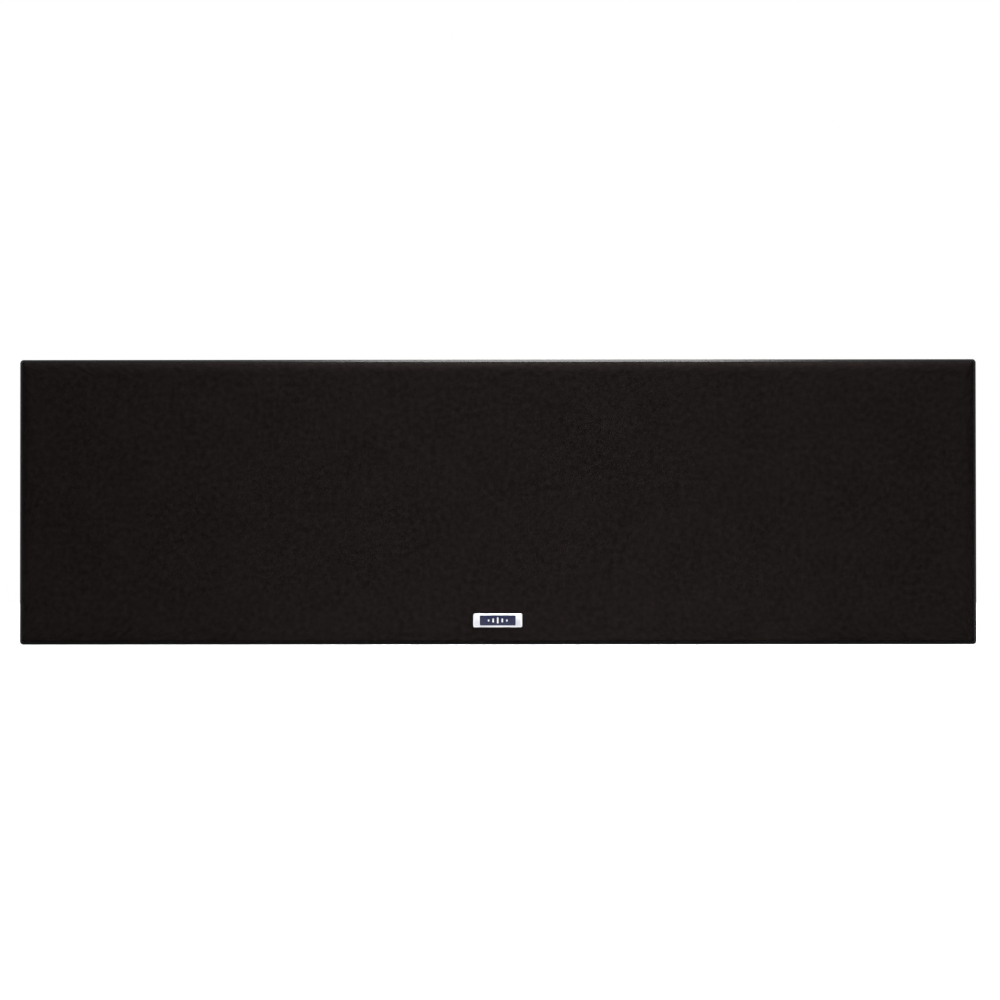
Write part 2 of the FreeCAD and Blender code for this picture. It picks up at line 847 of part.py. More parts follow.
def build_woofer(side_name, side):
    """One woofer: basket, suspension, moving parts and motor."""
    x = side * S.woofer_x
    rim_front = seat - S.rim_thick
    lip_rear = rim_front + S.lip_step
    land = S.woofer_rim - S.rim_land
    floor_front = S.motor_front - S.floor_thick
    lip_front = lip_rear - S.skin

    basket = new_body(side_name + "_basket")
    turn_profile(basket, [
        (S.skirt_inner, lip_rear),
        (land, lip_rear),
        (land, rim_front),
        (S.woofer_rim, rim_front),
        (S.woofer_rim, seat),
        (S.skirt_outer, seat),
        (S.skirt_outer, S.skirt_rear),
        (S.skirt_inner, S.skirt_rear),
    ])
    spoke_skin = S.skirt_outer - S.skirt_inner
    inside = S.spider_radius + S.ring_width / 4
    sketch = sketch_on(basket, "XY_Plane", -S.spoke_width / 2)
    outline(sketch, [
        (S.skirt_inner - spoke_skin / 2, S.spoke_front),
        (S.skirt_outer - S.press_gap, S.spoke_front),
        (S.skirt_outer - S.press_gap, S.skirt_rear, (LEFT, S.spoke_curve)),
        (S.top_plate_radius + S.floor_thick, S.motor_front),
        (S.top_plate_radius - S.floor_thick, S.motor_front),
        (S.top_plate_radius - S.floor_thick, floor_front),
        (S.top_plate_radius, floor_front),
        (inside, S.spider_seat + S.ring_thick / 2),
        (inside, S.spider_seat - S.floor_thick),
    ])
    polar(basket, pad(basket, sketch, S.spoke_width), SPOKES)
    sketch = sketch_on(basket, "XY_Plane", -S.fin_width / 2)
    outline(sketch, [
        (S.skirt_outer - S.press_gap, S.skirt_rear, (LEFT, S.fin_curve)),
        (S.top_plate_radius + S.floor_thick, S.motor_front),
        (S.spider_radius + S.fin_root / 2, S.spider_seat - S.fin_root),
    ])
    polar(basket, pad(basket, sketch, S.fin_width), SPOKES)
    turn_profile(basket, ring(S.floor_hole, S.top_plate_radius + S.floor_thick,
                              floor_front, S.motor_front))
    half_ring = S.ring_width / 2
    turn_profile(basket, ring(S.spider_radius - half_ring, S.spider_radius + half_ring,
                              S.spider_seat, S.spider_seat + S.ring_thick))
    sketch = flat_sketch(basket, rim_front)
    for sx, sz in on_circle(S.woofer_screw_circle, WOOFER_SCREWS, WOOFER_SCREW_START):
        circle(sketch, S.screw_hole, sx, sz)
    pocket(basket, sketch, S.rim_thick)
    place(basket, x)

    front_roll = S.roll_radius + S.skin / 2
    rear_roll = S.roll_radius - S.skin / 2
    level = lip_rear - S.skin / 2
    cone_front = S.cone_front
    lip_edge = land - S.gasket_gap
    turned(side_name + "_surround", [
        (lip_edge, lip_front),
        (S.roll_centre + front_roll, lip_front),
        (S.roll_centre + front_roll, level, (RIGHT, front_roll)),
        (S.roll_centre, level - front_roll, (RIGHT, front_roll)),
        (S.roll_centre - front_roll, level),
        (S.roll_centre - front_roll, cone_front - S.skin),
        (S.cone_mouth, cone_front - S.skin),
        (S.cone_mouth, cone_front),
        (S.roll_centre - rear_roll, cone_front),
        (S.roll_centre - rear_roll, level, (LEFT, rear_roll)),
        (S.roll_centre, level - rear_roll, (LEFT, rear_roll)),
        (S.roll_centre + rear_roll, level),
        (S.roll_centre + rear_roll, lip_rear),
        (lip_edge, lip_rear),
    ], x)
    turned(side_name + "_gasket", ring(S.roll_centre + front_roll + S.skin, lip_edge,
                                       lip_front - S.gasket_thick, lip_front), x)

    turned(side_name + "_cone", [
        (S.cone_mouth, cone_front),
        (S.cone_rim, cone_front),
        (S.cone_rim, cone_front + S.cone_thick),
        (S.cone_mouth, cone_front + S.cone_thick),
        (S.coil_radius, S.cone_neck + S.cone_thick),
        (S.coil_radius, S.cone_neck),
    ], x)

    slope = (S.cone_neck - cone_front) / (S.cone_mouth - S.coil_radius)
    edge = S.cone_neck - (S.cap_radius - S.coil_radius) * slope
    foot = edge - S.cap_foot * slope
    bulge = (S.cap_radius * S.cap_radius + S.cap_rise * S.cap_rise) / (2 * S.cap_rise)
    turned(side_name + "_dust_cap", [
        (Dim.of(0.0), edge - S.skin - S.cap_rise, (LEFT, bulge)),
        (S.cap_radius, edge - S.skin),
        (S.cap_radius + S.cap_foot, foot - S.skin),
        (S.cap_radius + S.cap_foot, foot),
        (S.cap_radius, edge, (RIGHT, bulge)),
        (Dim.of(0.0), edge - S.cap_rise),
    ], x)

    winding_front = S.motor_front - S.winding_front
    turned(side_name + "_voice_coil", [
        (S.coil_radius - S.former_thick, S.cone_neck - S.former_inset),
        (S.coil_radius, S.cone_neck - S.former_inset),
        (S.coil_radius, winding_front),
        (S.coil_radius + S.winding_thick, winding_front),
        (S.coil_radius + S.winding_thick, winding_front + S.winding_length),
        (S.coil_radius - S.former_thick, winding_front + S.winding_length),
    ], x)

    # corrugated spider that rises from its ring to the former
    lip = S.spider_radius - S.spider_lip
    collar = S.coil_radius + S.spider_collar
    collar_rear = S.spider_seat - S.spider_rise
    step = (lip - collar) / (WAVES + 1)
    rear_line = [(S.spider_radius, S.spider_seat), (lip, S.spider_seat)]
    for k in range(1, WAVES + 1):
        middle = S.spider_seat - k * S.spider_rise / (WAVES + 1)
        crest = S.spider_wave if k % 2 else -S.spider_wave
        rear_line.append((lip - k * step, middle + crest))
    rear_line += [(collar, collar_rear), (S.coil_radius, collar_rear)]
    front_line = [(radius, depth - S.spider_skin) for radius, depth in reversed(rear_line)]
    turned(side_name + "_spider", rear_line + front_line, x)

    plate_rear = S.motor_front + S.top_plate_thick
    magnet_rear = plate_rear + S.magnet_thick
    yoke_rear = magnet_rear + S.yoke_thick
    turned(side_name + "_top_plate",
           ring(S.coil_radius + S.gap_width, S.top_plate_radius, S.motor_front, plate_rear), x)
    turned(side_name + "_magnet", [
        (S.magnet_hole, plate_rear),
        (S.magnet_radius - S.motor_bevel, plate_rear),
        (S.magnet_radius, plate_rear + S.motor_bevel),
        (S.magnet_radius, magnet_rear - S.motor_bevel),
        (S.magnet_radius - S.motor_bevel, magnet_rear),
        (S.magnet_hole, magnet_rear),
    ], x)
    turned(side_name + "_yoke", [
        (S.vent_radius, S.motor_front - S.pole_step),
        (S.pole_radius, S.motor_front - S.pole_step),
        (S.pole_radius, magnet_rear),
        (S.top_plate_radius, magnet_rear),
        (S.top_plate_radius, yoke_rear - S.motor_bevel),
        (S.top_plate_radius - S.motor_bevel, yoke_rear),
        (S.vent_radius + S.vent_flare, yoke_rear),
        (S.vent_radius, yoke_rear - S.vent_flare),
    ], x)


def build_tweeter():
    """The dome tweeter: faceplate, diaphragm, motor and rear chamber."""
    front = -S.tweeter_front
    body = new_body("tweeter_faceplate")
    turn_profile(body, [
        (S.throat_radius, S.throat_front, (RIGHT, S.throat_curve)),
        (S.mouth_radius, front),
        (S.tweeter_radius - S.faceplate_bevel, front),
        (S.tweeter_radius, front + S.faceplate_bevel),
        (S.tweeter_radius, seat),
        (S.tweeter_hole - S.boss_step, seat),
        (S.tweeter_hole - S.boss_step, S.dome_seat),
        (S.throat_radius, S.dome_seat),
    ])
    sketch = flat_sketch(body, front)
    for x, z in tweeter_screws:
        circle(sketch, S.screw_hole, x, z)
    pocket(body, sketch, S.plate_thick)

    rear = S.dome_seat + S.dome_skin
    rise = S.dome_rise
    bulge = (S.dome_radius * S.dome_radius + rise * rise) / (2 * rise)
    inside = S.dome_radius - S.dome_skin
    inner_bulge = (inside * inside + rise * rise) / (2 * rise)
    roll = S.dome_roll
    turned("tweeter_dome", [
        (Dim.of(0.0), S.dome_seat - rise, (LEFT, bulge)),
        (S.dome_radius, S.dome_seat, (LEFT, roll)),
        (S.dome_radius + roll, S.dome_seat - roll, (LEFT, roll)),
        (S.dome_radius + 2 * roll, S.dome_seat),
        (S.dome_lip, S.dome_seat),
        (S.dome_lip, rear),
        (S.dome_radius, rear),
        (S.dome_radius, rear + S.dome_former),
        (inside, rear + S.dome_former),
        (inside, rear, (RIGHT, inner_bulge)),
        (Dim.of(0.0), rear - rise),
    ])
    cup_floor = S.cup_rear - S.cup_floor
    plate_rear = rear + S.pole_plate
    turned("tweeter_cup", [
        (S.cup_vent, cup_floor),
        (S.cup_inside, cup_floor),
        (S.cup_inside, plate_rear),
        (S.dome_radius + S.pole_gap, plate_rear),
        (S.dome_radius + S.pole_gap, rear),
        (S.cup_radius, rear),
        (S.cup_radius, S.cup_rear - S.cup_bevel),
        (S.cup_radius - S.cup_bevel, S.cup_rear),
        (S.cup_vent, S.cup_rear),
    ])
    turned("tweeter_magnet", [
        (S.cup_vent, rear + S.pole_gap),
        (inside - S.pole_gap, rear + S.pole_gap),
        (inside - S.pole_gap, plate_rear),
        (inside - 2 * S.pole_gap, plate_rear),
        (inside - 2 * S.pole_gap, cup_floor),
        (S.cup_vent, cup_floor),
    ])
    turned("tweeter_chamber", [
        (S.chamber_radius - S.chamber_wall, S.cup_rear),
        (S.chamber_radius, S.cup_rear),
        (S.chamber_radius, S.chamber_rear - S.chamber_round, (LEFT, S.chamber_round)),
        (S.chamber_radius - S.chamber_round, S.chamber_rear),
        (Dim.of(0.0), S.chamber_rear),
        (Dim.of(0.0), S.chamber_rear - S.chamber_wall),
        (S.chamber_radius - S.chamber_wall, S.chamber_rear - S.chamber_wall),
    ])


def build_driver_screws():
    """The sixteen pan-head screws of the three drivers."""
    body = new_body("driver_screws")
    groups = ((woofer_screws, seat - S.rim_thick), (tweeter_screws, -S.tweeter_front))
    for centres, level in groups:
        head = (S.driver_head, level - S.driver_head_height, level)
        shank = (S.driver_shank, level, level + S.driver_length)
        for radius, front, rear in (head, shank):
            sketch = flat_sketch(body, rear)
            for x, z in centres:
                circle(sketch, radius, x, z)
            pad(body, sketch, rear - front)
    for _, level in groups:
        round_edges(body, S.driver_bevel, flat_at(level - S.driver_head_height),
                    "PartDesign::Chamfer")


def box_body(label, width, depth, height, x, y, z):
    """A block about x and z that starts at depth y."""
    body = new_body(label)
    sketch = flat_sketch(body, Dim.of(y) + depth)
    rectangle(sketch, Dim.of(x) - Dim.of(width) / 2, Dim.of(z) - Dim.of(height) / 2,
              Dim.of(x) + Dim.of(width) / 2, Dim.of(z) + Dim.of(height) / 2)
    pad(body, sketch, depth)
    return body


def build_crossover():
    """The crossover board in the right end bay, with its parts and screws."""
    x = S.end_bay_x
    rear = S.board_front + S.board_thick
    board = box_body("crossover_board", S.board_width, S.board_thick, S.board_height,
                     x, S.board_front, 0.0)
    sketch = flat_sketch(board, S.board_front)
    for hx, hz in board_holes:
        circle(sketch, S.board_hole, hx, hz)
    pocket(board, sketch, S.board_thick)
    coil = turned("woofer_coil", ring(S.big_coil_inner, S.big_coil_outer,
                                      rear, rear + S.big_coil_depth))
    place(coil, x, 0.0, S.big_coil_z)
    coil = turned("tweeter_coil", ring(S.small_coil_inner, S.small_coil_outer,
                                       rear, rear + S.small_coil_depth))
    place(coil, x - S.small_coil_x, 0.0, -S.small_coil_z)
    can = doc.addObject("Part::Cylinder", "film_capacitor")
    can.Label = "film_capacitor"
    bind(can, "Radius", S.can_radius)
    bind(can, "Height", S.can_length)
    place(can, x - S.can_length / 2, rear + S.can_radius, -S.can_z, 90.0)
    box_body("cement_resistor", S.resistor_side, S.resistor_side, S.resistor_length,
             x + S.resistor_x, rear, -S.resistor_z)

    body = new_body("board_screws")
    groups = ((board_holes, rear), (terminal_holes, S.terminal_front + S.terminal_thick))
    for centres, level in groups:
        head = (S.board_head, level, level + S.board_head_height)
        shank = (S.board_shank, level - S.board_length, level)
        for radius, start, end in (head, shank):
            sketch = flat_sketch(body, end)
            for hx, hz in centres:
                circle(sketch, radius, hx, hz)
            pad(body, sketch, end - start)
    for _, level in groups:
        round_edges(body, S.board_bevel, flat_at(level + S.board_head_height),
                    "PartDesign::Chamfer")


def build_terminals():
    """The terminal plate in the left end bay with two binding posts."""
    x = -S.end_bay_x
    front = S.terminal_front
    rear = front + S.terminal_thick
    plate = box_body("terminal_plate", S.terminal_width, S.terminal_thick,
                     S.terminal_height, x, front, 0.0)
    sketch = flat_sketch(plate, front)
    for hx, hz in terminal_holes:
        circle(sketch, S.board_hole, hx, hz)
    for hx, hz in stud_places:
        circle(sketch, S.stud_radius + S.stud_gap, hx, hz)
    pocket(plate, sketch, S.terminal_thick)
    stacked("terminal_studs", stud_places, [
        (S.nut_radius, front - S.collar_depth, front),
        (S.stud_radius, front, rear),
        (S.collar_radius, rear, rear + S.collar_depth),
        (S.stud_thread, rear + S.collar_depth, rear + S.stud_rear),
    ], [(S.plug_radius, rear + S.stud_rear - S.plug_depth, rear + S.stud_rear)])
    for label, (sx, sz) in zip(("terminal_cap_minus", "terminal_cap_plus"), stud_places):
        cap = new_body(label)
        turn_profile(cap, [
            (S.post_bore, rear + S.post_front),
            (S.post_outer - S.post_bevel, rear + S.post_front),
            (S.post_outer, rear + S.post_front + S.post_bevel),
            (S.post_outer, rear + S.post_rear - S.post_bevel),
            (S.post_outer - S.post_bevel, rear + S.post_rear),
            (S.post_bore, rear + S.post_rear),
        ])
        sketch = flat_sketch(cap, rear + S.flute_start)
        circle(sketch, S.flute_radius, S.flute_circle)
        polar(cap, pocket(cap, sketch, S.post_rear - S.flute_start), FLUTES)
        place(cap, sx, 0.0, sz)


build_frame()
build_grille()
for clamp in CLAMPS:
    build_clamp(*clamp)
for name, direction in SIDES:
    build_woofer(name, direction)
build_tweeter()
build_driver_screws()
build_crossover()
build_terminals()
doc.recompute()

HELPERS = ("cloth_block", "cloth_hollow")
nodes = [thing for thing in doc.Objects
         if thing.TypeId in ("PartDesign::Body", "Part::Cut", "Part::Cylinder")
         and thing.Label not in HELPERS]
for thing in doc.Objects:
    if "Invalid" in thing.State or "Error" in thing.State:
        raise RuntimeError("%s did not build" % thing.Label)
for node in nodes:
    if node.Shape.isNull() or not node.Shape.isValid() or not node.Shape.Solids:
        raise RuntimeError("%s has no sound solid" % node.Label)
    node.Shape.exportStep("parts/%s.step" % node.Label)
print("%d parts" % len(nodes))
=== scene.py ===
"""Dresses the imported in-wall loudspeaker: cloth grille, drivers, clamps, crossover and terminals."""
import json
import logging
import math
from collections.abc import Callable, Iterable, Sequence
from dataclasses import dataclass, field
from enum import Enum

import bmesh
import bpy
from mathutils import Matrix, Vector


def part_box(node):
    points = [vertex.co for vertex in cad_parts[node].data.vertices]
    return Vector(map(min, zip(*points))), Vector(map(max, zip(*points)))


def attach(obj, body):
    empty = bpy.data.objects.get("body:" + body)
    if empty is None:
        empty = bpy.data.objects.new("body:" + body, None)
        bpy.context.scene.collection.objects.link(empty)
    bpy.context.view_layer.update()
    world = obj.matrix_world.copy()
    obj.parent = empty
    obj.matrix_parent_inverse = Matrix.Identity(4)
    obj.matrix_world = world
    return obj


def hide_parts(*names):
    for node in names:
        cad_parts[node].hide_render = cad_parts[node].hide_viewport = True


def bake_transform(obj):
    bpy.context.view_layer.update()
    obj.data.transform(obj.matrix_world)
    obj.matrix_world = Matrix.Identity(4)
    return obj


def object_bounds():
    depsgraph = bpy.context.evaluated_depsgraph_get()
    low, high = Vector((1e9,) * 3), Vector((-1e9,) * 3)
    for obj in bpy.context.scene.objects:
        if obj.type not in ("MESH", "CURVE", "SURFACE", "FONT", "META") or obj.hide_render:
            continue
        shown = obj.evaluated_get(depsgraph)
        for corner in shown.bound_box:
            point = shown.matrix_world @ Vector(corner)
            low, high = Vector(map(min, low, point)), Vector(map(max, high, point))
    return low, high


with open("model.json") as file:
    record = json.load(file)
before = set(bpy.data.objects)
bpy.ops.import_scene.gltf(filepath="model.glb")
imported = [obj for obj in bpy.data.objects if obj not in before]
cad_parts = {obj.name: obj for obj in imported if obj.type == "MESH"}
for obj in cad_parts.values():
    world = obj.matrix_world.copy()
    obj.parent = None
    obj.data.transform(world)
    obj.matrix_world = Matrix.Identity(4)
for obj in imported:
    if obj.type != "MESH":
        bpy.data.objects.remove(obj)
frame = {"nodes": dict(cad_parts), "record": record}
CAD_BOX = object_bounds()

MM = 0.001
log = logging.getLogger("in_wall_speaker")

Node = bpy.types.Node
Socket = bpy.types.NodeSocket
Tree = bpy.types.NodeTree
Piece = bpy.types.Object
Material = bpy.types.Material
Colour = tuple[float, float, float]
Point2 = tuple[float, float]
Point3 = tuple[float, float, float]
Value = Socket | float | int | bool | Sequence[float]


class Side(Enum):
    """The two woofers, by the sign of their place along X."""

    LEFT = -1
    RIGHT = 1

    @property
    def word(self) -> str:
        """The side's name in the CAD nodes."""
        return self.name.lower()


class Facing(Enum):
    """Which way a screw's head looks."""

    FRONT = (0.0, -1.0, 0.0)
    REAR = (0.0, 1.0, 0.0)


def rgba(colour: Colour) -> tuple[float, float, float, float]:
    """A colour with full alpha."""
    return (*colour, 1.0)


def grey(level: float) -> Colour:
    """An even grey."""
    return level, level, level


class Wiring:
    """Adds nodes to one tree and joins their sockets."""

    def __init__(self, tree: Tree) -> None:
        """Work on a tree.

        Args:
            tree: the shader or geometry tree that takes the nodes.
        """
        self.tree = tree

    def feed(self, socket: Socket, value: Value) -> None:
        """Link a socket to another one, or set its value.

        Args:
            socket: the input to fill.
            value: an output socket or a plain value.
        """
        if isinstance(value, Socket):
            self.tree.links.new(value, socket)
        else:
            socket.default_value = value

    def node(
        self, kind: str, inputs: dict[str | int, Value] | None = None, **settings: object
    ) -> Node:
        """Add one node.

        Args:
            kind: the node's type name.
            inputs: values or sockets by input name or number.
            settings: the node's own properties.

        Returns:
            The new node.
        """
        made = self.tree.nodes.new(kind)
        for name, value in settings.items():
            setattr(made, name, value)
        for key, value in (inputs or {}).items():
            self.feed(made.inputs[key], value)
        return made

    def math(self, operation: str, *values: Value) -> Socket:
        """Work out a number.

        Args:
            operation: the Math node's operation.
            values: its operands in order.

        Returns:
            The result's socket.
        """
        made = self.node("ShaderNodeMath", operation=operation)
        for socket, value in zip(made.inputs, values):
            self.feed(socket, value)
        return made.outputs[0]

    def vector(self, operation: str, *values: Value) -> Node:
        """Work out a vector.

        Args:
            operation: the Vector Math node's operation.
            values: its operands in order.

        Returns:
            The node, with its Vector and Value outputs.
        """
        made = self.node("ShaderNodeVectorMath", operation=operation)
        for socket, value in zip(made.inputs, values):
            self.feed(socket, value)
        return made

    def ramp(self, value: Value, low: float, high: float, start: float, end: float) -> Socket:
        """Map a value from low to high onto start to end, held at both ends.

        Args:
            value: the value to map.
            low: where the result is start.
            high: where the result is end.
            start: the first result.
            end: the last result.

        Returns:
            The result's socket.
        """
        made = self.node("ShaderNodeMapRange", clamp=True)
        for socket, number in zip(made.inputs, (value, low, high, start, end)):
            self.feed(socket, number)
        return made.outputs[0]

    def noise(self, place: Value, scale: Value, detail: float = 3.0) -> Socket:
        """Smooth noise over a place.

        Args:
            place: the coordinates.
            scale: features per metre.
            detail: how many finer layers are added.

        Returns:
            The noise value's socket.
        """
        made = self.node("ShaderNodeTexNoise", {"Vector": place, "Scale": scale, "Detail": detail})
        return made.outputs[0]

    def blend(self, share: Value, first: Value, second: Value) -> Socket:
        """Mix two colours.

        Args:
            share: how much of the second one.
            first: the first colour.
            second: the second colour.

        Returns:
            The mixed colour's socket.
        """
        made = self.node("ShaderNodeMix", {0: share, 6: first, 7: second}, data_type="RGBA")
        return made.outputs[2]

    def group(self, tree: Tree, kind: str, **inputs: Value) -> Node:
        """Place a node group.

        Args:
            tree: the group's own tree.
            kind: the group node's type name.
            inputs: its inputs by name, with _ for a space.

        Returns:
            The group node.
        """
        made = self.node(kind, node_tree=tree)
        for name, value in inputs.items():
            self.feed(made.inputs[name.replace("_", " ")], value)
        return made


class GroupMaker:
    """Builds a node group with named sockets once and hands out the same tree after that."""

    made: dict[str, Tree] = {}

    def __init__(self, name: str, kind: str) -> None:
        """Name the group.

        Args:
            name: the tree's name.
            kind: the tree's type name.
        """
        self.name = name
        self.kind = kind

    def build(
        self,
        inputs: Sequence[tuple[str, str, Value | None]],
        outputs: Sequence[tuple[str, str]],
        fill: Callable[[Wiring, Node, Node], None],
    ) -> Tree:
        """Make the tree, or return it if it is there.

        Args:
            inputs: name, socket type and default of each input.
            outputs: name and socket type of each output.
            fill: adds the nodes between the group's input and output nodes.

        Returns:
            The finished tree.
        """
        if self.name in self.made:
            return self.made[self.name]
        tree = bpy.data.node_groups.new(self.name, self.kind)
        for name, kind, default in inputs:
            socket = tree.interface.new_socket(name=name, in_out="INPUT", socket_type=kind)
            if default is not None:
                socket.default_value = default
        for name, kind in outputs:
            tree.interface.new_socket(name=name, in_out="OUTPUT", socket_type=kind)
        wiring = Wiring(tree)
        fill(wiring, wiring.node("NodeGroupInput"), wiring.node("NodeGroupOutput"))
        self.made[self.name] = tree
        return tree


FLOAT = "NodeSocketFloat"
VECTOR = "NodeSocketVector"
GEOMETRY = "NodeSocketGeometry"
INTEGER = "NodeSocketInt"
MATERIAL = "NodeSocketMaterial"


class SharedSurface:
    """The shader groups that several finishes share."""

    @staticmethod
    def grain() -> Tree:
        """Fine grain with a slow mottling, for moulded, cast and pressed surfaces.

        Returns:
            The tree, made at the first call.
        """

        def fill(w: Wiring, start: Node, end: Node) -> None:
            """Add the grain's nodes.

            Args:
                w: the group's wiring.
                start: the group's input node.
                end: the group's output node.
            """
            place, scale = start.outputs["Vector"], start.outputs["Scale"]
            w.feed(end.inputs["Height"], w.noise(place, scale, 3.0))
            slow = w.noise(place, w.math("MULTIPLY", scale, 0.02), 2.0)
            w.feed(end.inputs["Mottle"], w.ramp(slow, 0.3, 0.7, 0.0, 1.0))

        return GroupMaker("surface_grain", "ShaderNodeTree").build(
            [("Vector", VECTOR, None), ("Scale", FLOAT, 1000.0)],
            [("Height", FLOAT), ("Mottle", FLOAT)], fill)

    @staticmethod
    def soft_edges() -> Tree:
        """Rounded edges in the shading, with a mask of where the edges are.

        Returns:
            The tree, made at the first call.
        """

        def fill(w: Wiring, start: Node, end: Node) -> None:
            """Add the nodes that compare the rounded normal with the true one.

            Args:
                w: the group's wiring.
                start: the group's input node.
                end: the group's output node.
            """
            bevel = w.node("ShaderNodeBevel", {"Radius": start.outputs["Radius"]}, samples=6)
            flat = w.node("ShaderNodeNewGeometry").outputs["Normal"]
            same = w.vector("DOT_PRODUCT", bevel.outputs["Normal"], flat).outputs["Value"]
            w.feed(end.inputs["Normal"], bevel.outputs["Normal"])
            w.feed(end.inputs["Edge"], w.ramp(same, 0.99, 0.75, 0.0, 1.0))

        return GroupMaker("soft_edges", "ShaderNodeTree").build(
            [("Radius", FLOAT, 0.4 * MM)], [("Normal", VECTOR), ("Edge", FLOAT)], fill)

    @staticmethod
    def weave() -> Tree:
        """Over-and-under threads on coordinates in metres.

        Returns:
            The tree, made at the first call.
        """

        def fill(w: Wiring, start: Node, end: Node) -> None:
            """Add the weave's nodes.

            Args:
                w: the group's wiring.
                start: the group's input node.
                end: the group's output node.
            """
            place = start.outputs["Vector"]
            turns = w.math("DIVIDE", 2.0 * math.pi, start.outputs["Pitch"])
            spread = w.node("ShaderNodeSeparateXYZ", {0: place})
            across = w.math("SINE", w.math("MULTIPLY", spread.outputs[0], turns))
            along = w.math("SINE", w.math("MULTIPLY", spread.outputs[1], turns))
            crossing = w.math("MULTIPLY", across, along)
            uneven = w.noise(place, w.math("DIVIDE", 0.3, start.outputs["Pitch"]), 2.0)
            lifted = w.math("MULTIPLY_ADD", crossing, 0.35, 0.3)
            w.feed(end.inputs["Height"], w.math("MULTIPLY_ADD", uneven, 0.4, lifted))
            # Shade rises and falls with Height; the acoustic cloth darkens its low places with it as painted
            # shade.
            w.feed(end.inputs["Shade"], w.math("MULTIPLY_ADD", crossing, 0.3, uneven))

        return GroupMaker("woven_threads", "ShaderNodeTree").build(
            [("Vector", VECTOR, None), ("Pitch", FLOAT, 1.0 * MM)],
            [("Height", FLOAT), ("Shade", FLOAT)], fill)

    @staticmethod
    def turned() -> Tree:
        """Tool marks in rings round an axis along Y, mirrored about the middle plane.

        Returns:
            The tree, made at the first call.
        """

        def fill(w: Wiring, start: Node, end: Node) -> None:
            """Add the rings' nodes.

            Args:
                w: the group's wiring.
                start: the group's input node.
                end: the group's output node.
            """
            spread = w.node("ShaderNodeSeparateXYZ", {0: start.outputs["Vector"]})
            aside = w.math("SUBTRACT", w.math("ABSOLUTE", spread.outputs[0]), start.outputs["Offset"])
            squares = w.math("ADD", w.math("POWER", aside, 2.0), w.math("POWER", spread.outputs[2], 2.0))
            radius = w.math("SQRT", squares)
            rings = w.node("ShaderNodeCombineXYZ", {0: radius, 1: spread.outputs[1]}).outputs[0]
            w.feed(end.inputs["Height"], w.noise(rings, start.outputs["Scale"], 4.0))

        return GroupMaker("turned_rings", "ShaderNodeTree").build(
            [("Vector", VECTOR, None), ("Offset", FLOAT, 0.0), ("Scale", FLOAT, 2500.0)],
            [("Height", FLOAT)], fill)


class SurfaceSketch:
    """One material while it is being put together."""

    def __init__(self, name: str) -> None:
        """Start a material with its Principled shader and object coordinates.

        Args:
            name: the material's name.
        """
        self.material = bpy.data.materials.new(name)
        self.material.use_nodes = True
        self.wiring = Wiring(self.material.node_tree)
        self.shader = self.material.node_tree.nodes["Principled BSDF"]
        self.coordinates = self.wiring.node("ShaderNodeTexCoord")

    @property
    def place(self) -> Socket:
        """The object coordinates, in metres."""
        return self.coordinates.outputs["Object"]

    @property
    def flat(self) -> Socket:
        """The piece's own UV map."""
        return self.coordinates.outputs["UV"]

    @property
    def front(self) -> Socket:
        """The object coordinates seen from the front: x and z."""
        x, _, z = self.wiring.node("ShaderNodeSeparateXYZ", {0: self.place}).outputs
        return self.wiring.node("ShaderNodeCombineXYZ", {0: x, 1: z}).outputs[0]

    def shared(self, tree: Tree, **inputs: Value) -> Node:
        """Place one of the shared groups."""
        return self.wiring.group(tree, "ShaderNodeGroup", **inputs)

    def constants(self, **numbers: float | Sequence[float]) -> None:
        """Set plain values on the shader's own sockets, with _ for a space in a name."""
        for name, number in numbers.items():
            self.shader.inputs[name.replace("_", " ")].default_value = number

    def surface(self, colour: Value, roughness: Value, normal: Value | None = None) -> None:
        """Join the three main inputs of the shader.

        Args:
            colour: what feeds the base colour.
            roughness: what feeds the roughness.
            normal: what feeds the normal, if anything.
        """
        self.wiring.feed(self.shader.inputs["Base Color"], colour)
        self.wiring.feed(self.shader.inputs["Roughness"], roughness)
        if normal is not None:
            self.wiring.feed(self.shader.inputs["Normal"], normal)

    def bump(
        self, height: Value, distance: float, strength: float = 1.0, normal: Value | None = None
    ) -> Socket:
        """Raise the surface in the shading.

        Args:
            height: the height from 0 to 1.
            distance: what 1 stands for, in metres.
            strength: how much of it shows.
            normal: the normal under it, if it isn't the plain one.

        Returns:
            The new normal's socket.
        """
        inputs: dict[str | int, Value] = {"Strength": strength, "Distance": distance, "Height": height}
        if normal is not None:
            inputs["Normal"] = normal
        return self.wiring.node("ShaderNodeBump", inputs).outputs[0]


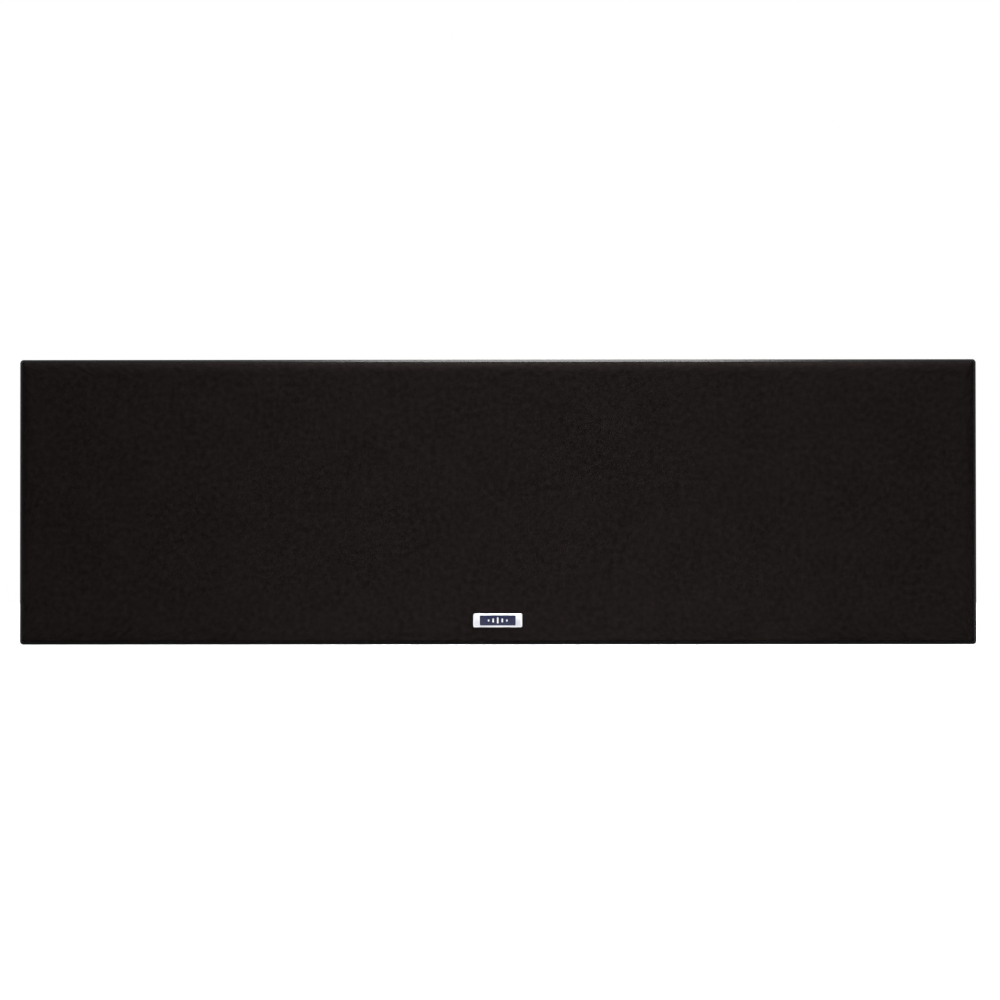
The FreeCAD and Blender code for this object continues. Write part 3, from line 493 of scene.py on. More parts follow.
@dataclass(frozen=True)
class Finish:
    """A moulded, cast, plated or coated surface with grain, mottling and worn edges.

    The colour drifts to the tint where the mottling is strong, and to the edge colour on edges.
    """

    name: str
    colour: Colour
    tint: Colour
    edge: Colour
    roughness: tuple[float, float] = (0.45, 0.6)
    metallic: float = 0.0
    specular: float = 0.4
    coat: float = 0.0
    grain: float = 1500.0
    depth: float = 0.02 * MM
    edge_radius: float = 0.35 * MM

    def material(self) -> Material:
        """Make the finish's material.

        Returns:
            The new material.
        """
        sketch = SurfaceSketch(self.name)
        w = sketch.wiring
        grain = sketch.shared(SharedSurface.grain(), Vector=sketch.place, Scale=self.grain)
        edges = sketch.shared(SharedSurface.soft_edges(), Radius=self.edge_radius)
        colour = w.blend(grain.outputs["Mottle"], rgba(self.colour), rgba(self.tint))
        colour = w.blend(edges.outputs["Edge"], colour, rgba(self.edge))
        rough = w.ramp(grain.outputs["Mottle"], 0.0, 1.0, *self.roughness)
        normal = sketch.bump(grain.outputs["Height"], self.depth, 0.6, edges.outputs["Normal"])
        sketch.surface(colour, rough, normal)
        sketch.constants(Metallic=self.metallic, Specular_IOR_Level=self.specular, Coat_Weight=self.coat,
                         Coat_Roughness=0.08)
        return sketch.material


@dataclass(frozen=True)
class FramePlastic(Finish):
    """The frame's plastic: polished at the rim, grained inside the rim and behind the wall line."""

    rear: Colour = (0.030, 0.030, 0.032)
    gloss: float = 0.24
    front_level: float = -4.0 * MM
    rim: float = 2.0 * MM

    def material(self) -> Material:
        """Make the frame's material.

        Returns:
            The new material.
        """
        sketch = SurfaceSketch(self.name)
        w = sketch.wiring
        grain = sketch.shared(SharedSurface.grain(), Vector=sketch.place, Scale=self.grain)
        edges = sketch.shared(SharedSurface.soft_edges(), Radius=self.edge_radius)
        along, depth, up = w.node("ShaderNodeSeparateXYZ", {0: sketch.place}).outputs
        behind = w.ramp(depth, self.front_level, self.front_level + 1.0 * MM, 0.0, 1.0)
        past_end = w.math("SUBTRACT", w.math("ABSOLUTE", along), CAD_BOX[1][0] - self.rim)
        past_top = w.math("SUBTRACT", w.math("ABSOLUTE", up), CAD_BOX[1][2] - self.rim)
        outside = w.math("MAXIMUM", past_end, past_top)
        behind = w.math("MAXIMUM", behind, w.ramp(outside, -0.2 * MM, 0.0, 1.0, 0.0))
        back = w.blend(grain.outputs["Mottle"], rgba(self.rear), rgba(self.tint))
        back = w.blend(edges.outputs["Edge"], back, rgba(self.edge))
        colour = w.blend(behind, rgba(self.colour), back)
        rough_back = w.ramp(grain.outputs["Mottle"], 0.0, 1.0, *self.roughness)
        rough_front = w.ramp(grain.outputs["Mottle"], 0.0, 1.0, self.gloss, self.gloss + 0.05)
        rough = w.math("ADD", w.math("MULTIPLY", behind, rough_back),
                       w.math("MULTIPLY", w.math("SUBTRACT", 1.0, behind), rough_front))
        height = w.math("MULTIPLY", grain.outputs["Height"], behind)
        sketch.surface(colour, rough, sketch.bump(height, self.depth, 0.6, edges.outputs["Normal"]))
        sketch.constants(Specular_IOR_Level=self.specular)
        return sketch.material


@dataclass(frozen=True)
class ClothFinish:
    """Dark acoustic cloth on a UV map in metres: threads with painted shade between them, slubs and a faint
    cloudiness.
    """

    name: str
    thread: Colour
    # painted shade: the darker colour that the weave takes between its threads
    shaded_gap: Colour
    pale: Colour
    pitch: float = 1.1 * MM
    cloud: float = 26.0
    knots: float = 234.0
    knot_share: float = 0.28
    cloud_share: float = 0.25
    roughness: tuple[float, float] = (0.88, 0.96)
    depth: float = 0.12 * MM

    def material(self) -> Material:
        """Make the cloth's material.

        Returns:
            The new material.
        """
        sketch = SurfaceSketch(self.name)
        w = sketch.wiring
        weave = sketch.shared(SharedSurface.weave(), Vector=sketch.flat, Pitch=self.pitch)
        cloudy = w.ramp(w.noise(sketch.flat, self.cloud, 4.0), 0.35, 0.68, 0.0, 1.0)
        knots = w.ramp(w.noise(sketch.flat, self.knots, 3.0), 0.32, 0.68, 0.0, 1.0)
        # Painted shade: where the weave is low, between the threads, the colour darkens; the knots add random
        # tone.
        threads = w.ramp(weave.outputs["Shade"], 0.28, 0.72, 0.0, 1.0)
        knotted = w.math("MULTIPLY", knots, self.knot_share)
        share = w.math("MULTIPLY_ADD", threads, 1.0 - self.knot_share, knotted)
        colour = w.blend(share, rgba(self.shaded_gap), rgba(self.thread))
        colour = w.blend(w.math("MULTIPLY", cloudy, self.cloud_share), colour, rgba(self.pale))
        rough = w.ramp(cloudy, 0.0, 1.0, *self.roughness)
        sketch.surface(colour, rough, sketch.bump(weave.outputs["Height"], self.depth, 0.8))
        sketch.constants(Specular_IOR_Level=0.0)
        return sketch.material


@dataclass(frozen=True)
class PressedFibre:
    """Pressed fibre pulp: short pale fibres in a dark ground, laid in several directions and bent."""

    name: str
    ground: Colour
    fibre: Colour
    scale: float = 1300.0
    length: float = 9.0
    bend: float = 5.0 * MM
    bends: float = 140.0
    lay: tuple[float, ...] = (12.0, 74.0, 131.0)
    thickness: tuple[float, float] = (0.57, 0.72)
    grain: float = 2200.0
    roughness: tuple[float, float] = (0.62, 0.8)
    depth: float = 0.05 * MM

    def material(self) -> Material:
        """Make the fibre's material.

        Returns:
            The new material.
        """
        sketch = SurfaceSketch(self.name)
        w = sketch.wiring
        drift = w.node("ShaderNodeTexNoise", {"Vector": sketch.place, "Scale": self.bends, "Detail": 1.0})
        bent = w.vector("MULTIPLY_ADD", drift.outputs["Color"], (self.bend,) * 3, sketch.place).outputs[0]
        fibres: Value = 0.0
        for degrees in self.lay:
            turned = w.node(
                "ShaderNodeMapping",
                {"Vector": bent, "Rotation": (0.0, math.radians(degrees), 0.0),
                 "Scale": (1.0, 1.0, self.length)},
                vector_type="TEXTURE")
            streak = w.ramp(w.noise(turned.outputs[0], self.scale, 2.0), *self.thickness, 0.0, 1.0)
            fibres = w.math("MAXIMUM", fibres, streak)
        grain = sketch.shared(SharedSurface.grain(), Vector=sketch.place, Scale=self.grain)
        colour = w.blend(w.math("MULTIPLY", fibres, 0.7), rgba(self.ground), rgba(self.fibre))
        rough = w.ramp(grain.outputs["Mottle"], 0.0, 1.0, *self.roughness)
        height = w.math("MULTIPLY_ADD", fibres, 0.6, w.math("MULTIPLY", grain.outputs["Height"], 0.4))
        sketch.surface(colour, rough, sketch.bump(height, self.depth, 0.7))
        sketch.constants(Specular_IOR_Level=0.3)
        return sketch.material


@dataclass(frozen=True)
class DippedCloth:
    """Woven cloth that a resin has stiffened, with the weave on the part's own face plane."""

    name: str
    thread: Colour
    resin: Colour
    pitch: float = 1.4 * MM
    contrast: tuple[float, float] = (0.15, 0.8)
    roughness: tuple[float, float] = (0.45, 0.75)
    depth: float = 0.15 * MM

    def material(self) -> Material:
        """Make the dipped cloth's material.

        Returns:
            The new material.
        """
        sketch = SurfaceSketch(self.name)
        w = sketch.wiring
        weave = sketch.shared(SharedSurface.weave(), Vector=sketch.front, Pitch=self.pitch)
        shade = w.ramp(weave.outputs["Shade"], *self.contrast, 0.0, 1.0)
        colour = w.blend(shade, rgba(self.resin), rgba(self.thread))
        rough = w.ramp(shade, 0.0, 1.0, *self.roughness)
        sketch.surface(colour, rough, sketch.bump(weave.outputs["Height"], self.depth, 0.8))
        sketch.constants(Specular_IOR_Level=0.4)
        return sketch.material


@dataclass(frozen=True)
class TurnedMetal:
    """Plated or plain metal with faint tool rings, a cloudy plating and bright edges."""

    name: str
    colour: Colour
    dull: Colour
    roughness: tuple[float, float] = (0.26, 0.42)
    offset: float = 0.0
    rings: float = 2600.0
    grain: float = 1800.0
    edge_radius: float = 0.25 * MM
    depth: float = 0.02 * MM

    def material(self) -> Material:
        """Make the metal's material.

        Returns:
            The new material.
        """
        sketch = SurfaceSketch(self.name)
        w = sketch.wiring
        rings = sketch.shared(
            SharedSurface.turned(), Vector=sketch.place, Offset=self.offset, Scale=self.rings)
        grain = sketch.shared(SharedSurface.grain(), Vector=sketch.place, Scale=self.grain)
        edges = sketch.shared(SharedSurface.soft_edges(), Radius=self.edge_radius)
        marks = w.math("MULTIPLY_ADD", rings.outputs["Height"], 0.7,
                       w.math("MULTIPLY", grain.outputs["Mottle"], 0.3))
        marks = w.ramp(marks, 0.25, 0.75, 0.0, 1.0)
        colour = w.blend(marks, rgba(self.colour), rgba(self.dull))
        rough = w.ramp(marks, 0.0, 1.0, *self.roughness)
        normal = sketch.bump(rings.outputs["Height"], self.depth, 0.35, edges.outputs["Normal"])
        sketch.surface(colour, rough, normal)
        sketch.constants(Metallic=1.0)
        return sketch.material


@dataclass(frozen=True)
class SolderMask:
    """Green solder mask, with the glass cloth of the laminate showing faintly through it."""

    name: str
    mask: Colour
    deep: Colour
    cloth: float = 1.1 * MM
    grain: float = 1200.0
    roughness: tuple[float, float] = (0.28, 0.38)
    depth: float = 0.03 * MM

    def material(self) -> Material:
        """Make the mask's material.

        Returns:
            The new material.
        """
        sketch = SurfaceSketch(self.name)
        w = sketch.wiring
        glass = sketch.shared(SharedSurface.weave(), Vector=sketch.front, Pitch=self.cloth)
        grain = sketch.shared(SharedSurface.grain(), Vector=sketch.place, Scale=self.grain)
        colour = w.blend(glass.outputs["Shade"], rgba(self.mask), rgba(self.deep))
        rough = w.ramp(grain.outputs["Mottle"], 0.0, 1.0, *self.roughness)
        sketch.surface(colour, rough, sketch.bump(glass.outputs["Height"], self.depth, 0.5))
        sketch.constants(Specular_IOR_Level=0.5)
        return sketch.material


AnyFinish = Finish | ClothFinish | PressedFibre | DippedCloth | TurnedMetal | SolderMask

FINISHES: dict[str, AnyFinish] = {
    "frame_plastic": FramePlastic(
        "polished_and_grained_plastic", (0.0085, 0.0085, 0.009), (0.036, 0.036, 0.038), (0.060, 0.060, 0.062),
        specular=0.08),
    "grille_plastic": Finish("matte_grille_plastic", grey(0.022), grey(0.030), grey(0.045)),
    # The cloth's second, darker colour is painted shade between its threads.
    "cloth": ClothFinish(
        "acoustic_cloth", (0.0188, 0.0149, 0.0140), (0.0066, 0.0053, 0.0050), (0.0190, 0.0154, 0.0146)),
    "badge": TurnedMetal(
        "satin_badge_metal", (0.62, 0.63, 0.65), (0.54, 0.55, 0.58), roughness=(0.3, 0.42), rings=60.0),
    "peg_plastic": Finish("peg_plastic", grey(0.024), grey(0.034), grey(0.05), roughness=(0.35, 0.45)),
    "socket_rubber": Finish(
        "socket_rubber", grey(0.017), grey(0.024), grey(0.03), roughness=(0.7, 0.85), specular=0.25),
    "faceplate": Finish("grained_faceplate", grey(0.020), grey(0.026), grey(0.045), grain=2400.0),
    "dome_silk": DippedCloth("coated_silk", (0.020, 0.020, 0.023), (0.009, 0.009, 0.010), pitch=0.7 * MM),
    "plated_steel": TurnedMetal(
        "zinc_plated_steel", (0.33, 0.335, 0.34), (0.21, 0.21, 0.205), roughness=(0.30, 0.48),
        offset=165.0 * MM, rings=500.0),
    "chamber_plastic": Finish("chamber_plastic", grey(0.026), grey(0.034), grey(0.05), roughness=(0.38, 0.5)),
    "black_screw": Finish(
        "black_oxide", grey(0.035), grey(0.055), grey(0.16), roughness=(0.32, 0.45), metallic=0.8),
    "circuit_board": SolderMask("green_solder_mask", (0.010, 0.062, 0.028), (0.006, 0.043, 0.019)),
    "copper_wire": Finish(
        "enamelled_copper", (0.62, 0.235, 0.095), (0.50, 0.17, 0.062), (0.70, 0.30, 0.14),
        roughness=(0.22, 0.32), metallic=1.0, coat=0.5, depth=0.004 * MM),
    "capacitor_film": Finish(
        "wrapped_film", (0.58, 0.36, 0.045), (0.50, 0.30, 0.035), (0.66, 0.44, 0.08),
        roughness=(0.25, 0.35), coat=0.3, grain=900.0),
    "cement": Finish(
        "ceramic_cement", (0.70, 0.68, 0.62), (0.60, 0.575, 0.51), (0.76, 0.75, 0.70),
        roughness=(0.75, 0.9), grain=2600.0, depth=0.06 * MM),
    "zinc_screw": TurnedMetal("zinc_screw", (0.60, 0.60, 0.58), (0.46, 0.46, 0.43)),
    "terminal_plastic": Finish(
        "terminal_plastic", grey(0.022), grey(0.030), grey(0.055), roughness=(0.4, 0.52)),
    "gold_brass": TurnedMetal(
        "gold_plated_brass", (0.86, 0.62, 0.25), (0.78, 0.53, 0.19), roughness=(0.16, 0.28)),
    "cap_red": Finish(
        "red_cap", (0.42, 0.010, 0.012), (0.36, 0.008, 0.010), (0.50, 0.03, 0.03),
        roughness=(0.22, 0.3), specular=0.5),
    "cap_black": Finish(
        "black_cap", grey(0.014), grey(0.019), grey(0.04), roughness=(0.22, 0.3), specular=0.5),
    "brass_insert": TurnedMetal("turned_brass", (0.74, 0.53, 0.22), (0.62, 0.42, 0.16)),
    "clamp_plastic": Finish(
        "glass_filled_plastic", grey(0.034), grey(0.050), grey(0.075), roughness=(0.45, 0.62),
        grain=2000.0, depth=0.03 * MM),
    "cast_basket": Finish(
        "powder_coated_casting", grey(0.028), grey(0.036), grey(0.055), roughness=(0.5, 0.62),
        grain=2600.0, depth=0.05 * MM),
    "surround_rubber": Finish(
        "surround_rubber", grey(0.013), grey(0.018), grey(0.02), roughness=(0.5, 0.62), specular=0.35),
    "cone_fibre": PressedFibre("cone_fibre", (0.034, 0.034, 0.037), (0.085, 0.083, 0.082)),
    "cap_fibre": PressedFibre("dust_cap_fibre", (0.028, 0.028, 0.030), grey(0.060), scale=1500.0),
    "spider_cloth": DippedCloth("resin_dipped_cloth", (0.46, 0.31, 0.12), (0.27, 0.15, 0.045)),
    "ferrite": Finish(
        "ground_ferrite", (0.050, 0.050, 0.054), (0.075, 0.074, 0.076), (0.11, 0.11, 0.112),
        roughness=(0.5, 0.7), metallic=0.2, grain=3000.0, depth=0.03 * MM, edge_radius=0.6 * MM),
}
ENAMEL = Finish(
    "navy_enamel", (0.012, 0.016, 0.060), (0.016, 0.020, 0.075), (0.03, 0.04, 0.11),
    roughness=(0.15, 0.25), specular=0.2, coat=0.05)
EPOXY = Finish(
    "potting_epoxy", (0.16, 0.10, 0.03), (0.12, 0.075, 0.022), (0.2, 0.13, 0.05),
    roughness=(0.3, 0.42), specular=0.5, grain=500.0, depth=0.08 * MM)
MASKED_COPPER = SolderMask("masked_copper", (0.020, 0.150, 0.060), (0.016, 0.128, 0.050))
TINNED = TurnedMetal("tinned_wire", grey(0.66), grey(0.5), roughness=(0.25, 0.4))


class Wardrobe:
    """Makes each finish's material once."""

    def __init__(self) -> None:
        """Start with no materials made."""
        self.made: dict[str, Material] = {}

    def slot(self, name: str) -> Material:
        """The material of a slot in the record."""
        return self.special(FINISHES[name])

    def special(self, finish: AnyFinish) -> Material:
        """The material of any finish.

        Args:
            finish: the finish.

        Returns:
            Its material, made at the first call.
        """
        if finish.name not in self.made:
            self.made[finish.name] = finish.material()
        return self.made[finish.name]


class MeshShop:
    """Makes plain mesh objects and finished pieces."""

    @staticmethod
    def from_faces(
        name: str,
        points: Sequence[Point3],
        faces: Sequence[Sequence[int]],
        material: Material,
        crease: float = 40.0,
    ) -> Piece:
        """Make an object from points and faces, with its normals outward.

        Args:
            name: the object's name.
            points: the vertices, in metres.
            faces: vertex numbers of each face.
            material: what it is made of.
            crease: edges sharper than this angle stay sharp, in degrees.

        Returns:
            The linked object.
        """
        mesh = bpy.data.meshes.new(name)
        mesh.from_pydata(points, [], faces)
        shape = bmesh.new()
        shape.from_mesh(mesh)
        bmesh.ops.remove_doubles(shape, verts=shape.verts, dist=1e-7)
        bmesh.ops.recalc_face_normals(shape, faces=shape.faces)
        shape.to_mesh(mesh)
        shape.free()
        return MeshShop.link(name, mesh, material, crease)

    @staticmethod
    def link(
        name: str, mesh: bpy.types.Mesh, material: Material, crease: float = 40.0
    ) -> Piece:
        """Put a mesh into the scene.

        Args:
            name: the object's name.
            mesh: its mesh.
            material: what it is made of.
            crease: edges sharper than this angle stay sharp, in degrees.

        Returns:
            The linked object.
        """
        mesh.materials.clear()
        mesh.materials.append(material)
        mesh.shade_smooth()
        mesh.set_sharp_from_angle(angle=math.radians(crease))
        piece = bpy.data.objects.new(name, mesh)
        bpy.context.scene.collection.objects.link(piece)
        return piece

    @staticmethod
    def lathe(
        name: str,
        profile: Sequence[Point2],
        centre: Point3,
        material: Material,
        axis: Point3 = (0.0, 1.0, 0.0),
        steps: int = 96,
        crease: float = 40.0,
    ) -> Piece:
        """Turn a closed profile about an axis.

        Args:
            name: the object's name.
            profile: (radius, height along the axis) round the section.
            centre: a point on the axis, where the height is 0.
            material: what it is made of.
            axis: the axis, along Y or X.
            steps: how many steps round.
            crease: edges sharper than this angle stay sharp, in degrees.

        Returns:
            The linked object.
        """
        turn = Vector((0.0, 1.0, 0.0)).rotation_difference(Vector(axis)).to_matrix()
        points, faces = [], []
        for step in range(steps):
            angle = 2.0 * math.pi * step / steps
            for radius, height in profile:
                place = Vector((radius * math.cos(angle), height, radius * math.sin(angle)))
                points.append(tuple(turn @ place + Vector(centre)))
        count = len(profile)
        for step in range(steps):
            here, there = step * count, (step + 1) % steps * count
            for k in range(count):
                after = (k + 1) % count
                faces.append((here + k, there + k, there + after, here + after))
        return MeshShop.from_faces(name, points, faces, material, crease)

    @staticmethod
    def wire(
        name: str, route: Sequence[Point3], radius: float, material: Material
    ) -> Piece:
        """Make a stiff round lead along a route.

        Args:
            name: the object's name.
            route: the control points of its smooth line.
            radius: the lead's radius.
            material: what it is made of.

        Returns:
            The linked object, as a mesh.
        """
        line = bpy.data.curves.new(name, "CURVE")
        line.dimensions = "3D"
        line.bevel_depth = radius
        line.bevel_resolution = 2
        line.use_fill_caps = True
        spline = line.splines.new("NURBS")
        spline.points.add(len(route) - 1)
        for point, place in zip(spline.points, route):
            point.co = (*place, 1.0)
        spline.use_endpoint_u = True
        spline.order_u = 3
        spline.resolution_u = 6
        rough = bpy.data.objects.new(name, line)
        bpy.context.scene.collection.objects.link(rough)
        mesh = bpy.data.meshes.new_from_object(rough.evaluated_get(bpy.context.evaluated_depsgraph_get()))
        bpy.data.objects.remove(rough)
        return MeshShop.link(name, mesh, material)

    @staticmethod
    def join(name: str, parts: Sequence[Piece]) -> Piece:
        """Join several objects of one material into one.

        Args:
            name: the joined object's name.
            parts: the objects, which are used up.

        Returns:
            The joined object.
        """
        shape = bmesh.new()
        material = parts[0].data.materials[0]
        for part in parts:
            shape.from_mesh(part.data)
        mesh = bpy.data.meshes.new(name)
        shape.to_mesh(mesh)
        shape.free()
        for part in parts:
            bpy.data.objects.remove(part)
        return MeshShop.link(name, mesh, material)


def settle(
    piece: Piece, body: str, replaced: Iterable[str] = ()
) -> Piece:
    """Let a piece ride on its body and report it.

    Args:
        piece: the finished piece.
        body: the CAD body that it moves with.
        replaced: the CAD nodes that it stands for.

    Returns:
        The same piece.
    """
    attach(piece, body)
    for node in replaced:
        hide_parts(node)
    log.info("%s rides on %s", piece.name, body)
    return piece


def arc(centre: Point2, radius: float, start: float, end: float, steps: int) -> list[Point2]:
    """Points on an arc.

    Args:
        centre: its centre.
        radius: its radius.
        start: the first angle, in degrees.
        end: the last angle, in degrees.
        steps: how many steps between them.

    Returns:
        The points, both ends included.
    """
    points = []
    for step in range(steps + 1):
        angle = math.radians(start + (end - start) * step / steps)
        points.append((centre[0] + radius * math.cos(angle), centre[1] + radius * math.sin(angle)))
    return points


class RepeatTrees:
    """The Geometry Nodes trees for what repeats or follows a rule."""

    @staticmethod
    def thread() -> Tree:
        """A threaded rod from z = 0 down to minus its length.

        Returns:
            The tree, made at the first call.
        """

        def fill(w: Wiring, start: Node, end: Node) -> None:
            """Add the rod and the nodes that cut its helix.

            Args:
                w: the group's wiring.
                start: the group's input node.
                end: the group's output node.
            """
            size = start.outputs
            turns = w.math("DIVIDE", size["Length"], size["Pitch"])
            rows = w.math("CEIL", w.math("MULTIPLY", turns, 6.0))
            rod = w.node("GeometryNodeMeshCylinder", {
                "Vertices": 20, "Side Segments": rows, "Radius": size["Radius"], "Depth": size["Length"]})
            lowered = w.node("ShaderNodeCombineXYZ", {2: w.math("MULTIPLY", size["Length"], -0.5)})
            moved = w.node("GeometryNodeTransform", {
                "Geometry": rod.outputs["Mesh"], "Translation": lowered.outputs[0]})
            place = w.node("GeometryNodeInputPosition").outputs[0]
            spread = w.node("ShaderNodeSeparateXYZ", {0: place})
            angle = w.math("DIVIDE", w.math("ARCTAN2", spread.outputs[1], spread.outputs[0]), 2.0 * math.pi)
            phase = w.math("SUBTRACT", w.math("DIVIDE", spread.outputs[2], size["Pitch"]), angle)
            groove = w.math("MULTIPLY", w.math("PINGPONG", phase, 0.5), size["Pitch"])
            inward = w.math("MULTIPLY", groove, -0.9)
            flat = w.vector("MULTIPLY", place, (1.0, 1.0, 0.0)).outputs[0]
            outward = w.vector("NORMALIZE", flat).outputs[0]
            offset = w.vector("SCALE", outward)
            w.feed(offset.inputs["Scale"], inward)
            cut = w.node("GeometryNodeSetPosition", {
                "Geometry": moved.outputs[0], "Offset": offset.outputs[0]})
            w.feed(end.inputs["Geometry"], cut.outputs[0])

        return GroupMaker("threaded_rod", "GeometryNodeTree").build(
            [("Radius", FLOAT, 2.0 * MM), ("Length", FLOAT, 20.0 * MM), ("Pitch", FLOAT, 1.0 * MM)],
            [("Geometry", GEOMETRY)], fill)

    @staticmethod
    def recess(w: Wiring, radius: Value, height: Value) -> list[Socket]:
        """The solids that cut a cross recess into a head: two blades and a deeper pilot cone.

        The blades differ a little in depth, so that no two of their faces lie in one plane.

        Args:
            w: the tree's wiring.
            radius: the head's radius.
            height: the head's height.

        Returns:
            One mesh socket for each solid.
        """
        reach, width = w.math("MULTIPLY", radius, 1.15), w.math("MULTIPLY", radius, 0.24)
        top = w.node("ShaderNodeCombineXYZ", {2: height}).outputs[0]
        solids = []
        for across, up, depth in ((reach, width, 1.0), (width, reach, 0.94)):
            sides = w.node("ShaderNodeCombineXYZ", {0: across, 1: up, 2: w.math("MULTIPLY", height, depth)})
            solids.append(w.node("GeometryNodeMeshCube", {"Size": sides.outputs[0]}).outputs["Mesh"])
        pilot = w.node("GeometryNodeMeshCylinder", {
            "Vertices": 12, "Radius": w.math("MULTIPLY", radius, 0.27),
            "Depth": w.math("MULTIPLY", height, 1.3)})
        place = w.node("GeometryNodeInputPosition").outputs[0]
        low = w.math("LESS_THAN", w.node("ShaderNodeSeparateXYZ", {0: place}).outputs[2], 0.0)
        narrowed = w.vector("MULTIPLY", place, (0.3, 0.3, 1.0)).outputs[0]
        solids.append(w.node("GeometryNodeSetPosition", {
            "Geometry": pilot.outputs["Mesh"], "Selection": low, "Position": narrowed}).outputs[0])
        return [w.node("GeometryNodeTransform", {"Geometry": solid, "Translation": top}).outputs[0]
                for solid in solids]

    @staticmethod
    def screws() -> Tree:
        """Pan-head screws with a cross recess on each point, heads along an axis.

        Returns:
            The tree, made at the first call.
        """

        def fill(w: Wiring, start: Node, end: Node) -> None:
            """Add the head, the recess, the shank and the copies.

            Args:
                w: the group's wiring.
                start: the group's input node.
                end: the group's output node.
            """
            size = start.outputs
            top = w.node("ShaderNodeCombineXYZ", {2: size["Head Height"]}).outputs[0]
            line = w.node("GeometryNodeCurvePrimitiveLine", {"Start": (0.0, 0.0, 0.0), "End": top})
            fine = w.node("GeometryNodeResampleCurve", {"Curve": line.outputs[0], "Count": 10})
            rise = w.node("GeometryNodeSplineParameter").outputs["Factor"]
            past = w.ramp(rise, 0.3, 1.0, 0.0, 1.0)
            fall = w.math("MULTIPLY", w.math("POWER", past, 2.2), 0.45)
            swell = w.math("MULTIPLY", size["Head Radius"], w.math("SUBTRACT", 1.0, fall))
            rim = w.node("GeometryNodeCurvePrimitiveCircle", {"Resolution": 32, "Radius": 1.0})
            head = w.node("GeometryNodeCurveToMesh", {
                "Curve": fine.outputs[0], "Profile Curve": rim.outputs[0], "Scale": swell, "Fill Caps": True})
            recessed = w.node("GeometryNodeMeshBoolean", {"Mesh 1": head.outputs[0]}, operation="DIFFERENCE")
            for cutter in RepeatTrees.recess(w, size["Head Radius"], size["Head Height"]):
                w.feed(recessed.inputs["Mesh 2"], cutter)
            sunk = w.math("MULTIPLY", size["Head Height"], 0.2)
            rod = w.group(RepeatTrees.thread(), "GeometryNodeGroup", Radius=size["Shank Radius"],
                          Length=w.math("ADD", size["Shank Length"], sunk), Pitch=size["Pitch"])
            lifted = w.node("ShaderNodeCombineXYZ", {2: sunk})
            shank = w.node("GeometryNodeTransform", {
                "Geometry": rod.outputs[0], "Translation": lifted.outputs[0]})
            screw = w.node("GeometryNodeJoinGeometry")
            w.feed(screw.inputs[0], recessed.outputs["Mesh"])
            w.feed(screw.inputs[0], shank.outputs[0])
            spin = w.node("FunctionNodeRandomValue", {"Seed": size["Seed"]}, data_type="FLOAT")
            spin.inputs[2].default_value = 0.0
            spin.inputs[3].default_value = 2.0 * math.pi
            euler = w.node("ShaderNodeCombineXYZ", {2: spin.outputs[1]})
            about = w.node("FunctionNodeEulerToRotation", {0: euler.outputs[0]})
            RepeatTrees.stand(w, start, screw.outputs[0], end, about.outputs[0])

        return GroupMaker("recessed_screws", "GeometryNodeTree").build(
            [("Geometry", GEOMETRY, None), ("Axis", VECTOR, (0.0, 0.0, 1.0)),
             ("Head Radius", FLOAT, 3.0 * MM), ("Head Height", FLOAT, 2.0 * MM),
             ("Shank Radius", FLOAT, 1.5 * MM), ("Shank Length", FLOAT, 12.0 * MM),
             ("Pitch", FLOAT, 1.0 * MM), ("Seed", INTEGER, 3), ("Material", MATERIAL, None)],
            [("Geometry", GEOMETRY)], fill)

    @staticmethod
    def winding() -> Tree:
        """A coil of round wire round Z: helices on its walls and spirals on its faces.

        Returns:
            The tree, made at the first call.
        """

        def fill(w: Wiring, start: Node, end: Node) -> None:
            """Add the spirals, the core under them and their place.

            Args:
                w: the group's wiring.
                start: the group's input node.
                end: the group's output node.
            """
            size = start.outputs
            wire = size["Wire Radius"]
            pitch = w.math("MULTIPLY", wire, 2.0)
            inner = w.math("ADD", size["Inner Radius"], wire)
            outer = w.math("SUBTRACT", size["Outer Radius"], wire)
            height = w.math("SUBTRACT", size["Depth"], pitch)
            layers = w.math("DIVIDE", w.math("SUBTRACT", outer, inner), pitch)
            turns = w.math("DIVIDE", height, pitch)
            section = w.node("GeometryNodeCurvePrimitiveCircle", {"Resolution": 6, "Radius": wire})
            joined = w.node("GeometryNodeJoinGeometry")
            runs = ((turns, outer, outer, height, wire), (turns, inner, inner, height, wire),
                    (layers, inner, outer, 0.0, wire),
                    (layers, inner, outer, 0.0, w.math("SUBTRACT", size["Depth"], wire)))
            for rotations, first, last, rise, lift in runs:
                spiral = w.node("GeometryNodeCurveSpiral", {
                    "Resolution": 40, "Rotations": rotations, "Start Radius": first, "End Radius": last,
                    "Height": rise})
                tube = w.node("GeometryNodeCurveToMesh", {
                    "Curve": spiral.outputs[0], "Profile Curve": section.outputs[0], "Fill Caps": True})
                raised = w.node("ShaderNodeCombineXYZ", {2: lift})
                moved = w.node("GeometryNodeTransform", {
                    "Geometry": tube.outputs[0], "Translation": raised.outputs[0]})
                w.feed(joined.inputs[0], moved.outputs[0])
            middle = w.math("MULTIPLY", w.math("ADD", inner, outer), 0.5)
            ring = w.node("GeometryNodeCurvePrimitiveCircle", {"Resolution": 48, "Radius": middle})
            block = w.node("GeometryNodeCurvePrimitiveQuadrilateral", {
                "Width": w.math("SUBTRACT", outer, inner), "Height": height})
            core = w.node("GeometryNodeCurveToMesh", {
                "Curve": ring.outputs[0], "Profile Curve": block.outputs[0]})
            centred = w.node("ShaderNodeCombineXYZ", {2: w.math("MULTIPLY", size["Depth"], 0.5)})
            moved = w.node("GeometryNodeTransform", {
                "Geometry": core.outputs[0], "Translation": centred.outputs[0]})
            w.feed(joined.inputs[0], moved.outputs[0])
            RepeatTrees.stand(w, start, joined.outputs[0], end)

